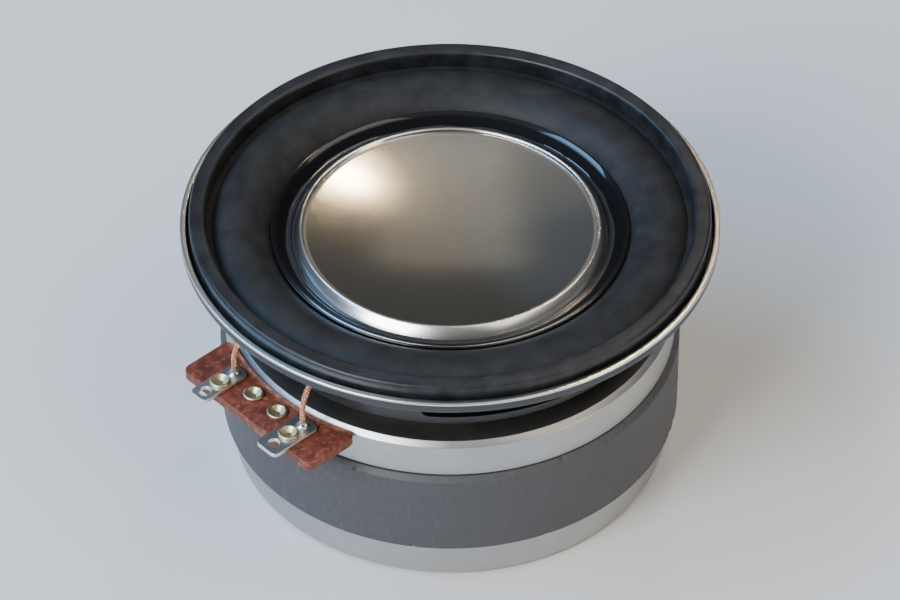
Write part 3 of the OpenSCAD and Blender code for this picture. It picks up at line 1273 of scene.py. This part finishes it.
@dataclass(frozen=True)
class Motor:
    """Yoke, ferrite magnet, top plate, copper cap and glue films. Sizes in millimetres."""

    yoke_t: float = 4.0
    pole_r: float = 9.5
    edge: float = 0.5
    chip_reach: tuple[float, float] = (0.9, 1.2)
    ear_l: float = 5.4
    ear_w: float = 6.8
    ear_t: float = 1.5
    board_t: float = 1.0

    def build(self) -> None:
        """Make the motor's pieces."""
        turned = PlatedSteel("yoke_steel", (0.5, 0.5, 0.5), 0.3, 0.7)
        settle(self.yoke(), turned, Body.FRAME, "yoke")
        settle(self.magnet(), Ferrite("ferrite"), Body.FRAME, "magnet")
        zinc = PlatedSteel("plate_steel", (0.54, 0.54, 0.53), 0.24, 0.45)
        settle(self.top_plate(), zinc, Body.FRAME, "top_plate")
        copper = BrightMetal("cap_copper", (0.78, 0.4, 0.24), (0.4, 0.18, 0.1), 0.3, 0.2)
        settle(self.pole_cap(), copper, Body.FRAME, "pole_cap")
        for node in ("magnet_rear_adhesive", "magnet_front_adhesive"):
            glue = Glue("magnet_glue", (0.12, 0.08, 0.04), 0.3)
            settle(self.glue_film(node), glue, Body.FRAME, node)

    def yoke(self) -> bpy.types.Object:
        """Turned plate and pole in one piece.

        Returns:
            The yoke.
        """
        size = Ring.of("yoke")
        e = self.edge
        corners = [
            point(0.0, size.low),
            point(size.outer - e, size.low),
            point(size.outer, size.low + e),
            point(size.outer, size.low + self.yoke_t),
            point(self.pole_r + e, size.low + self.yoke_t),
            point(self.pole_r, size.low + self.yoke_t + e),
            point(self.pole_r, size.high),
            point(0.0, size.high),
        ]
        return revolve("yoke", softened(corners, 0.15, 4))

    def magnet(self) -> bpy.types.Object:
        """Ferrite ring with small chips along its edges, within chip_reach of each face.

        Returns:
            The magnet.
        """
        size = Ring.of("magnet")
        e = self.edge
        corners = [
            point(size.inner, size.low),
            point(size.outer - e, size.low),
            point(size.outer, size.low + e),
            *(point(size.outer, size.low + d) for d in self.chip_reach),
            *(point(size.outer, size.high - d) for d in reversed(self.chip_reach)),
            point(size.outer, size.high - e),
            point(size.outer - e, size.high),
            point(size.inner, size.high),
        ]

        def chips(p: Vector, way: Vector) -> Vector:
            """Bites out of the outer edges.

            Args:
                p: point of the outline.
                way: its direction round the axis.

            Returns:
                The shift of the point.
            """
            spot = noise.noise(Vector((way.x * 31, way.y * 31, p.y * 0.9)))
            bite = max(0.0, spot - 0.42) * 1.1
            near = min(abs(p.y - size.low), abs(p.y - size.high))
            at_edge = p.x > size.outer - 1 and near < self.chip_reach[0] - 0.1
            return point(-bite if at_edge else 0.0, 0.0)

        return revolve("magnet", softened(corners, 0.14, 4), 720, chips)

    def rim_r(self) -> float:
        """Radius of the top plate, a little more than the yoke's and less than the magnet's."""
        return Ring.of("yoke").outer + self.edge

    def top_plate(self) -> bpy.types.Object:
        """Plated ring with a softened front edge and the ear that carries the board.

        Returns:
            The top plate.
        """
        size, rim_r, e = Ring.of("top_plate"), self.rim_r(), self.edge
        corners = [
            point(size.inner, size.low),
            point(rim_r, size.low),
            point(rim_r, size.high - e),
            point(rim_r - e, size.high),
            point(size.inner, size.high),
        ]
        ring = revolve("top_plate", softened(corners, 0.12, 5))
        half, top = self.ear_w / 2, size.high - self.board_t
        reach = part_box("top_plate")[0].y / MM
        outline = box_outline(-half, half, reach, reach + self.ear_l, 0.8)
        ear = plate("ear", [outline], top - self.ear_t, top, 0.12)
        return combined(ring, [ear], "UNION")

    def pole_cap(self) -> bpy.types.Object:
        """Thin drawn cap over the pole's end.

        Returns:
            The copper cap.
        """
        size = Ring.of("pole_cap")
        wall = size.outer - self.pole_r
        front = [
            point(0.0, size.high),
            *arc(point(size.outer - 0.3, size.high - 0.3), 0.3, 90.0, 0.0, 6),
            point(size.outer, size.low),
        ]
        inner = [
            point(self.pole_r, size.low),
            point(self.pole_r, size.high - wall),
            point(0.0, size.high - wall),
        ]
        return revolve("pole_cap", [*front, *inner])

    def glue_film(self, node: str) -> bpy.types.Object:
        """Glue film between the magnet and a plate, uneven along its edge.

        Args:
            node: the CAD node of the film.

        Returns:
            The film.
        """
        size = Ring.of(node)
        middle = (size.low + size.high) / 2
        outline = [
            point(size.inner, size.low),
            point(size.outer, size.low),
            point(size.outer - 0.06, middle),
            point(size.outer, size.high),
            point(size.inner, size.high),
        ]

        def edge(p: Vector, way: Vector) -> Vector:
            """Uneven squeeze-out along the outer edge."""
            wave = noise.noise(Vector((way.x * 8, way.y * 8, size.low)))
            return point(wave * 0.25 if p.x > size.outer - 1 else 0.0, 0.0)

        return revolve(node, outline, 300, edge)


@dataclass(frozen=True)
class Diaphragm:
    """Cone, metal cap, coil and their glue. Sizes in millimetres."""

    cap_t: float = 0.26
    cap_flare: float = 0.8
    bead_r: float = 0.2
    dish_depth: float = 1.3
    face_drop: float = 0.34
    face_in: float = 0.5
    skirt_bulge: float = 0.05
    wire_pitch: float = 0.28

    def build(self) -> None:
        """Make every piece that moves with the cone."""
        settle(self.cone(), PressedCone("cone_black"), Body.DIAPHRAGM, "cone")
        cap = self.dish_cap()
        face_r = Ring.of("dish_cap").outer - self.cap_flare - self.face_in
        settle(cap, SatinCap("cap_metal", face_r), Body.DIAPHRAGM, "dish_cap")
        for seed, node in enumerate(("cap_adhesive", "neck_adhesive")):
            settle(self.bead(node, seed), Glue("black_glue"), Body.DIAPHRAGM, node)
        sheet = Paper("former_sheet", (0.62, 0.58, 0.52), 0.9)
        settle(self.former(), sheet, Body.DIAPHRAGM, "former")
        copper = BrightMetal("coil_copper", (0.72, 0.32, 0.14), (0.5, 0.2, 0.08), 0.22, 0.2)
        settle(self.voice_coil(), copper, Body.DIAPHRAGM, "voice_coil")
        settle(self.collar(), Paper("kraft"), Body.DIAPHRAGM, "former_collar")

    def cone(self) -> bpy.types.Object:
        """Pressed cone with a rolled outer edge.

        Returns:
            The cone.
        """
        inner, steps = Ring.of("cone").inner, 16
        radii = [inner + (CONE.edge_r - inner) * i / steps for i in range(steps + 1)]
        front = [point(r, CONE.front_z(r)) for r in radii]
        return revolve("cone", softened(sheet_outline(front, CONE.sheet), 0.12, 4))

    def dish_cap(self) -> bpy.types.Object:
        """Concave spun dish with a rolled rim and a flared skirt.

        Returns:
            The cap.
        """
        size = Ring.of("dish_cap")
        rim_r = size.outer - self.cap_flare
        bead = point(rim_r - self.bead_r, size.high - self.bead_r)
        face_r = rim_r - self.face_in
        face_z = size.high - self.face_drop
        low = point(0.0, face_z - self.dish_depth)
        face = arc_over(low, point(face_r, face_z), -self.dish_depth / 4, 36)
        rolled = arc(bead, self.bead_r, 165.0, 42.0, 16)
        valley = bend(face[-2], point(face_r + 0.08, face_z), rolled[0], 0.05, 4)
        foot = point(size.outer, CONE.front_z(size.outer) + 0.06)
        skirt = arc_over(rolled[-1], foot, self.skirt_bulge, 12)[1:]
        front = [*face, *valley, *rolled, *skirt]
        return revolve("dish_cap", softened(sheet_outline(front, self.cap_t), 0.05, 2), 320)

    def bead(self, node: str, seed: int) -> bpy.types.Object:
        """Glue bead along a joint, a little uneven.

        Args:
            node: the CAD node of the bead.
            seed: sets its waves apart from the others'.

        Returns:
            The bead.
        """
        size = Ring.of(node)
        top, foot = point(size.inner, size.high), point(size.outer, CONE.front_z(size.outer))
        if node == "cap_adhesive":
            outline = [
                point(size.inner - 0.05, size.high),
                *arc_over(top, foot, -0.08, 8),
                point(size.outer, foot.y - 0.1),
                point(size.inner - 0.05, CONE.front_z(size.inner) - 0.05),
            ]
        else:
            outline = [
                point(size.inner, size.low),
                *arc_over(top, foot, -0.12, 8),
                point(size.inner + 0.15, size.low),
            ]
        return revolve(node, outline, 300, uneven(0.03, 5.0 + seed, 3.0 * seed))

    def former(self) -> bpy.types.Object:
        """Thin coil tube with softened ends."""
        return revolve("former", softened(band(Ring.of("former")), 0.05, 2))

    def voice_coil(self) -> bpy.types.Object:
        """Winding whose turns show as rounded ribs.

        Returns:
            The winding.
        """
        size = Ring.of("voice_coil")
        turns = round((size.high - size.low) / self.wire_pitch)
        pitch = (size.high - size.low) / turns
        ribs: Outline = []
        for k in range(turns):
            centre = point(size.outer - pitch / 2, size.low + pitch * (k + 0.5))
            ribs += arc(centre, pitch / 2, -80.0, 80.0, 6)
        outline = [point(size.inner, size.low), *ribs, point(size.inner, size.high)]
        return revolve("voice_coil", outline)

    def collar(self) -> bpy.types.Object:
        """Paper wrap whose overlap stands a little proud.

        Returns:
            The collar.
        """
        size = Ring.of("former_collar")

        def overlap(p: Vector, way: Vector) -> Vector:
            """Step where the paper's end laps over its start."""
            lap = way.x > 0.97 and way.y > 0
            return point(-0.04 if p.x > size.outer - 0.05 and not lap else 0.0, 0.0)

        return revolve("former_collar", softened(band(size), 0.05, 2), ripple=overlap)


@dataclass(frozen=True)
class Suspension:
    """Rubber surround, spider and the glue on the spider's edge. Sizes in millimetres."""

    rubber_t: float = 0.42
    roll_rise: float = 1.2
    cone_drop: float = 0.505
    inner_land: float = 1.6
    land_lift: float = 0.45
    land_w: float = 2.5
    cloth_t: float = 0.27
    waves: int = 3
    wave_rise: float = 0.4
    land: float = 0.85

    def build(self) -> None:
        """Make the surround, the spider and the glue on the spider's edge."""
        size = Ring.of("surround")
        inner, outer = Ring.of("cone").outer - 0.3, size.outer - self.land_w
        dark, bloom = (0.011, 0.011, 0.0115), (0.023, 0.023, 0.0235)
        rubber = Rubber("surround_rubber", dark, bloom, 0.56, 0.6, 0.24)
        flex(
            self.surround(),
            rubber,
            "surround",
            lambda p: (outer - math.hypot(p.x, p.y)) / (outer - inner),
        )
        cloth = Ring.of("spider")
        start, end = cloth.inner + self.land, self.wave_end()
        flex(
            self.spider(),
            WovenCloth("spider_cloth"),
            "spider",
            lambda p: (end - math.hypot(p.x, p.y)) / (end - start),
        )
        amber = Glue("amber_glue", (0.2, 0.11, 0.03), 0.15)
        settle(self.edge_glue(), amber, Body.FRAME, "spider_adhesive")

    def wave_end(self) -> float:
        """Radius where the spider's waves end."""
        return Chassis().foot_r - 0.3

    def surround(self) -> bpy.types.Object:
        """Half-roll with a flat outer land and an inner land under the cone's edge.

        Returns:
            The surround.
        """
        chassis, basket = Chassis(), Ring.of("basket")
        edge_r, edge_z = CONE.edge_r, Ring.of("cone").high
        under = CONE.front_z(edge_r - self.inner_land) - self.cone_drop
        top = basket.high - chassis.lip_h + self.land_lift
        roll_in = point(edge_r + 0.3, edge_z - 0.3)
        roll_out = point(basket.outer - chassis.pan_w, top)
        front = [
            point(edge_r - self.inner_land, under),
            point(edge_r, edge_z - self.cone_drop),
            *arc_over(roll_in, roll_out, self.roll_rise, 30),
            point(Ring.of("surround").outer, top),
        ]
        smooth = [front[0], *bend(front[0], front[1], front[2], 0.15, 3), *front[2:-1]]
        smooth = [*smooth[:-1], *bend(smooth[-2], front[-2], front[-1], 0.3, 5), front[-1]]
        return revolve("surround", softened(sheet_outline(smooth, self.rubber_t), 0.08, 3), 300)

    def spider(self) -> bpy.types.Object:
        """Corrugated cloth disc.

        Returns:
            The spider.
        """
        size = Ring.of("spider")
        z = Chassis().shelf_z + 0.3
        start = size.inner + self.land
        width = self.wave_end() - start
        steps = 24 * self.waves
        front = [point(size.inner, z)]
        for i in range(steps + 1):
            t = i / steps
            fade = min(1.0, 5 * t, 5 * (1 - t))
            lift = self.wave_rise * math.sin(2 * math.pi * self.waves * t) * fade
            front.append(point(start + width * t, z + lift))
        front.append(point(size.outer, z))
        return revolve("spider", softened(sheet_outline(front, self.cloth_t), 0.05, 2))

    def edge_glue(self) -> bpy.types.Object:
        """Amber bead on the spider's outer edge.

        Returns:
            The bead.
        """
        size = Ring.of("spider_adhesive")
        crown = arc_over(point(size.inner, size.low), point(size.outer - 0.05, size.high), 0.1, 8)
        outline = [*crown, point(size.outer, size.low)]
        return revolve("spider_adhesive", outline, 300, uneven(0.05, 6.0, 5.0))


@dataclass(frozen=True)
class Terminals:
    """Board, tags, rivets, solder and braided leads. Sizes in millimetres."""

    board_gap: float = 0.15
    board_corner_r: float = 0.8
    punch_edge: float = 0.07
    rivet_r: float = 0.6
    head_r: float = 1.0
    head_t: float = 0.3
    wire_hole_r: float = 0.6
    wire_hole_y: float = -27.3
    tag_rivet_y: float = -25.4
    tag_x: float = 4.9
    solder_r: float = 0.69
    solder_y: float = -23.6
    board_rivet_x: float = 1.7
    board_rivet_y: float = -24.0
    strand_r: float = 0.068
    braid_r: float = 0.232
    strands: int = 5
    twist: float = 2.4
    pad_r: float = 14.2
    pad_in: float = 1.0
    dab_r: float = 0.88
    exit_z: tuple[float, ...] = (18.45, 18.8, 19.3)
    loop: tuple[tuple[float, float], ...] = (
        (24.0, 20.6),
        (23.5, 21.9),
        (22.4, 22.9),
        (21.0, 23.3),
        (19.6, 23.2),
        (18.0, 22.8),
        (16.6, 22.4),
        (15.6, 22.3),
    )

    def build(self) -> None:
        """Make the terminal strip and the leads."""
        settle(self.board(), Phenolic("phenolic"), Body.FRAME, "terminal_board")
        tin = BrightMetal("tinned_metal", (0.76, 0.75, 0.71), (0.5, 0.48, 0.43), 0.22, 0.3)
        for node, x in (("terminal_positive", self.tag_x), ("terminal_negative", -self.tag_x)):
            settle(self.tag(node, x), tin, Body.FRAME, node)
        brass = BrightMetal("rivet_metal", (0.72, 0.62, 0.4), (0.42, 0.33, 0.18), 0.28, 0.2)
        for node, (x, y) in self.rivet_spots().items():
            settle(self.rivets(node, x, y), brass, Body.FRAME, node)
        solder = BrightMetal("solder", (0.72, 0.72, 0.71), (0.5, 0.5, 0.49), 0.14, 0.9)
        settle(self.solder(), solder, Body.FRAME, "solder_joints")
        glue = Glue("black_glue", (0.02, 0.016, 0.012), 0.2)
        settle(self.pads(), glue, Body.DIAPHRAGM, "lead_pads")
        braid = BrightMetal("braid", (0.74, 0.42, 0.26), (0.52, 0.28, 0.16), 0.3, 0.2)
        start, end = self.solder_y, -self.pad_r - self.pad_in
        for node, side in (("lead_positive", 1), ("lead_negative", -1)):
            flex(self.lead(node, side), braid, node, lambda p: (p.y - start) / (end - start))

    def rivet_spots(self) -> dict[str, tuple[float, float]]:
        """Place of the +X rivet of each pair, by the pair's node.

        Returns:
            The places, in millimetres.
        """
        return {
            "board_rivets": (self.board_rivet_x, self.board_rivet_y),
            "terminal_rivets": (self.tag_x, self.tag_rivet_y),
        }

    def board(self) -> bpy.types.Object:
        """Punched board that follows the plate's edge, with rivet holes.

        Returns:
            The board.
        """
        low, high = (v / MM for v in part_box("terminal_board"))
        holes = [
            hole_outline(s * x, y, self.rivet_r)
            for x, y in self.rivet_spots().values()
            for s in (-1, 1)
        ]
        inner_r = Motor().rim_r() + self.board_gap
        start = math.degrees(math.acos(-high.y / inner_r))
        sides = box_outline(low.x, high.x, low.y, high.y, self.board_corner_r)
        outline = [p for p in sides if p.y < high.y - 0.01]
        edge = arc(point(0.0, 0.0), inner_r, start - 90, -start - 90, 48)
        middle = max(i for i, p in enumerate(outline) if p.x > 0) + 1
        outline = [*outline[:middle], *edge, *outline[middle:]]
        return plate("terminal_board", [outline, *holes], low.z, high.z, self.punch_edge)

    def tag(self, node: str, x: float) -> bpy.types.Object:
        """Solder tag with a wire hole and a rivet hole.

        Args:
            node: the CAD node of the tag.
            x: its middle.

        Returns:
            The tag.
        """
        low, high = (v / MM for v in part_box(node))
        outline = box_outline(low.x, high.x, low.y, high.y, 0.6)
        holes = [
            hole_outline(x, self.wire_hole_y, self.wire_hole_r),
            hole_outline(x, self.tag_rivet_y, self.rivet_r),
        ]
        return plate(node, [outline, *holes], low.z, high.z, self.punch_edge)

    def rivets(self, node: str, x: float, y: float) -> bpy.types.Object:
        """Pair of hollow rivets with rolled heads.

        Args:
            node: the CAD node of the pair.
            x: distance of each from the middle.
            y: their place along Y.

        Returns:
            The pair.
        """
        size_low, size_high = (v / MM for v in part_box(node))
        low, high = size_low.z, size_high.z
        r, head, t = self.rivet_r, self.head_r, self.head_t
        half = t / 2
        outline = [
            point(0.0, low + 0.4),
            point(0.25, low + 0.4),
            *arc(point(head - half, low + half), half, 200.0, 360.0, 8),
            *arc(point(head - half, low + half), half, 0.0, 90.0, 5)[1:],
            point(r, low + t),
            point(r, high - t),
            *arc(point(head - half, high - half), half, -90.0, 160.0, 12),
            point(0.3, high - 0.4),
            point(0.0, high - 0.4),
        ]
        pair = []
        for s in (-1, 1):
            pair.append(moved(revolve("rivet", outline, 48), s * x, y))
        return joined(node, pair)

    @staticmethod
    def dab(name: str, radius: float, height: float, bore: float) -> bpy.types.Object:
        """Concave cone of solder or glue round a lead, standing on z = 0.

        Args:
            name: the object's name.
            radius: radius of its foot.
            height: its height.
            bore: radius of the lead in it.

        Returns:
            The dab.
        """
        steps = 14
        outline = [point(0.0, 0.0), point(radius, 0.0)]
        for i in range(1, steps + 1):
            t = i / steps
            outline.append(point(bore + 0.06 + (radius - bore - 0.06) * (1 - t) ** 2.2, height * t))
        outline += [point(bore * 0.8, height + 0.04), point(0.0, height + 0.04)]
        return revolve(name, outline, 64, uneven(0.03, 1.4, radius))

    def solder(self) -> bpy.types.Object:
        """Two solder joints on the tags.

        Returns:
            The joints.
        """
        low, high = (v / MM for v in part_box("solder_joints"))
        pair = []
        for s in (-1, 1):
            one = self.dab("solder", self.solder_r, high.z - low.z - 0.05, 0.3)
            pair.append(moved(one, s * self.tag_x, self.solder_y, low.z))
        return joined("solder_joints", pair)

    def pad_foot(self) -> tuple[float, float]:
        """Radius and height where a lead meets the rear of the cone."""
        return self.pad_r, CONE.front_z(self.pad_r) - CONE.sheet / math.cos(CONE.tilt)

    def lead_turn(self) -> float:
        """Angle of a lead's plane from -Y."""
        return math.atan2(self.tag_x, -self.solder_y)

    def pads(self) -> bpy.types.Object:
        """Two glue dabs behind the cone.

        Returns:
            The pads.
        """
        r, z = self.pad_foot()
        pair = []
        for s in (-1, 1):
            one = self.dab("pad", self.dab_r, 0.5, 0.3)
            one.data.transform(
                Matrix.Rotation(s * self.lead_turn() - math.pi / 2, 4, "Z")
                @ Matrix.Translation((r * MM, 0.0, z * MM))
                @ Matrix.Rotation(math.pi - CONE.tilt, 4, "Y")
            )
            pair.append(one)
        return joined("lead_pads", pair)

    def route(self) -> list[Vector]:
        """Centreline of a lead as radius and height, from tag to cone.

        Returns:
            Points of the line.
        """
        foot = math.hypot(self.tag_x, self.solder_y)
        pad = point(*self.pad_foot())
        off_cone = point(math.sin(CONE.tilt), -math.cos(CONE.tilt))
        start = [point(foot, z) for z in self.exit_z]
        ends = [pad + off_cone * gap for gap in (1.2, 0.6, 0.05)]
        return [*start, *(point(r, z) for r, z in self.loop), *ends]

    @staticmethod
    def spline(points: Sequence[Vector], steps: int) -> list[Vector]:
        """Smooth curve through points, with steps for each stretch.

        Args:
            points: the points.
            steps: steps from each to the next.

        Returns:
            The curve's points.
        """
        made = []
        last = len(points) - 1
        for i in range(last):
            a, b = points[max(i - 1, 0)], points[i]
            c, d = points[i + 1], points[min(i + 2, last)]
            for k in range(steps):
                t = k / steps
                cubic = (2 * a - 5 * b + 4 * c - d) + t * (3 * (b - c) + d - a)
                made.append(b + t / 2 * ((c - a) + t * cubic))
        return [*made, points[-1]]

    def lead(self, node: str, side: int) -> bpy.types.Object:
        """Braid of strands that cross over and under along the lead's route.

        Args:
            node: the CAD node of the lead.
            side: 1 for the lead on +X, -1 for the other.

        Returns:
            The braided lead.
        """
        turn = side * self.lead_turn() - math.pi / 2
        way = Vector((math.cos(turn), math.sin(turn), 0.0))
        across = Vector((-way.y, way.x, 0.0))
        line = [way * p.x + Vector((0.0, 0.0, p.y)) for p in self.spline(self.route(), 9)]
        verts, faces = tube(line, self.braid_r - self.strand_r, 10)
        for hand in (-1, 1):
            for k in range(self.strands):
                walk, centres = 0.0, []
                for i, centre in enumerate(line):
                    ahead, behind = line[min(i + 1, len(line) - 1)], line[max(i - 1, 0)]
                    along = (ahead - behind).normalized()
                    up = along.cross(across)
                    walk += (centre - line[i - 1]).length if i else 0.0
                    a = 2 * math.pi * (k / self.strands + hand * walk / self.twist)
                    cross = math.cos(self.strands * 2 * math.pi * walk / self.twist) * hand
                    r = self.braid_r - self.strand_r * (0.35 - 0.35 * cross)
                    centres.append(centre + r * (math.cos(a) * across + math.sin(a) * up))
                strand_verts, strand_faces = tube(centres, self.strand_r, 6)
                base = len(verts)
                verts += strand_verts
                faces += [[base + v for v in face] for face in strand_faces]
        return new_object(node, verts, faces)


# ---------------------------------------------------------------------------------------------
# Studio
# ---------------------------------------------------------------------------------------------


@dataclass(frozen=True)
class Lamp:
    """Soft rectangular lamp aimed at the speaker.

    Azimuth and elevation are those of its place as seen from the speaker, in degrees, with
    azimuth 0 towards -Y and 90 towards +X.
    """

    name: str
    azimuth: float
    elevation: float
    distance: float
    width: float
    height: float
    power: float
    colour: Colour


@dataclass(frozen=True)
class Studio:
    """Pale floor, soft lamps and the camera."""

    azimuth: float = 47.0
    elevation: float = 42.3
    lens: float = 205.0
    distance: float = 0.5
    sky_stops: tuple[tuple[float, Colour], ...] = (
        (0.3, (0.08, 0.0792, 0.0772)),
        (0.66, (0.1, 0.099, 0.0965)),
        (0.9, (0.38, 0.3762, 0.3667)),
    )
    lamps: tuple[Lamp, ...] = (
        Lamp("lamp_warm", 212.5, 51.0, 0.8, 0.04, 0.04, 0.6, (1.0, 0.74, 0.42)),
        Lamp("lamp_glow", 227.0, 48.0, 0.8, 0.15, 0.34, 0.036, (1.0, 0.88, 0.68)),
        Lamp("lamp_dusk", 246.0, 38.0, 0.8, 0.36, 0.3, 0.02, (0.4, 0.66, 1.0)),
        Lamp("lamp_cool", 312.0, 50.0, 0.8, 0.62, 0.34, 6.5, (0.3, 0.58, 1.0)),
        Lamp("lamp_key", 4.0, 34.0, 0.9, 0.46, 0.44, 10.0, (0.97, 0.98, 1.0)),
        Lamp("lamp_fill", 118.0, 56.0, 0.9, 1.0, 0.6, 3.6, (1.0, 0.96, 0.9)),
        Lamp("lamp_side", 104.0, 12.0, 0.8, 0.22, 0.16, 1.6, (1.0, 0.76, 0.46)),
    )

    def build(self) -> None:
        """Make the floor, the lamps, the sky and the camera."""
        self.floor()
        for lamp in self.lamps:
            self.lamp(lamp)
        self.sky()
        self.camera()

    @staticmethod
    def direction(azimuth: float, elevation: float) -> Vector:
        """Unit vector from the speaker towards an azimuth and elevation in degrees."""
        a, e = math.radians(azimuth), math.radians(elevation)
        return Vector((math.sin(a) * math.cos(e), -math.cos(a) * math.cos(e), math.sin(e)))

    @staticmethod
    def aim(thing: bpy.types.Object, place: Vector, target: Vector) -> None:
        """Put a lamp or camera at a place and turn it to a target.

        Args:
            thing: the lamp or camera.
            place: where it stands.
            target: what it faces.
        """
        thing.location = place
        thing.rotation_euler = (target - place).to_track_quat("-Z", "Y").to_euler()
        bpy.context.scene.collection.objects.link(thing)

    def floor(self) -> None:
        """Wide pale floor under the speaker."""
        half, count = 900.0, 12
        spots = [-half + 2 * half * i / count for i in range(count + 1)]
        verts = [Vector((x, y, 0.0)) for y in spots for x in spots]
        row = count + 1
        faces = [
            [j * row + i, j * row + i + 1, (j + 1) * row + i + 1, (j + 1) * row + i]
            for j in range(count)
            for i in range(count)
        ]
        sheet = new_object("floor", verts, faces)
        sheet.location.z = CAD_BOUNDS[0].z
        sheet.data.materials.append(FloorPaper("floor").material())

    def lamp(self, lamp: Lamp) -> None:
        """Add one lamp.

        Args:
            lamp: its settings.
        """
        light = bpy.data.lights.new(lamp.name, "AREA")
        light.shape = "RECTANGLE"
        light.size, light.size_y = lamp.width, lamp.height
        light.energy = lamp.power
        light.color = lamp.colour
        target = (CAD_BOUNDS[0] + CAD_BOUNDS[1]) / 2
        place = target + self.direction(lamp.azimuth, lamp.elevation) * lamp.distance
        self.aim(bpy.data.objects.new(lamp.name, light), place, target)

    def sky(self) -> None:
        """Even studio surroundings that are darker towards the horizon."""
        world = bpy.data.worlds.new("studio")
        bpy.context.scene.world = world
        g = Graph(world)
        height = g.axes(g.node("ShaderNodeTexCoord", output="Generated"))[2]
        glow = g.node("ShaderNodeValToRGB", {"stops": self.sky_stops}, {"Fac": height}, "Color")
        light = g.node("ShaderNodeBackground", {}, {"Color": glow}, "Background")
        g.node("ShaderNodeOutputWorld", {}, {"Surface": light})

    def camera(self) -> None:
        """Camera at the speaker's three-quarter view from above."""
        lens = bpy.data.cameras.new("camera")
        lens.lens = self.lens
        lens.clip_start, lens.clip_end = 0.01, 20.0
        low, high = CAD_BOUNDS
        target = Vector((0.0, 0.0, high.z * 0.58))
        place = target + self.direction(self.azimuth, self.elevation) * self.distance
        thing = bpy.data.objects.new("camera", lens)
        self.aim(thing, place, target)
        bpy.context.scene.camera = thing


def main() -> None:
    """Build the speaker and the studio in order."""
    logging.basicConfig(level=logging.INFO, format="%(name)s: %(message)s")
    for part in (Chassis(), Motor(), Diaphragm(), Suspension(), Terminals(), Studio()):
        part.build()
        LOG.info("%s is built", type(part).__name__)


if __name__ == "__main__":
    main()
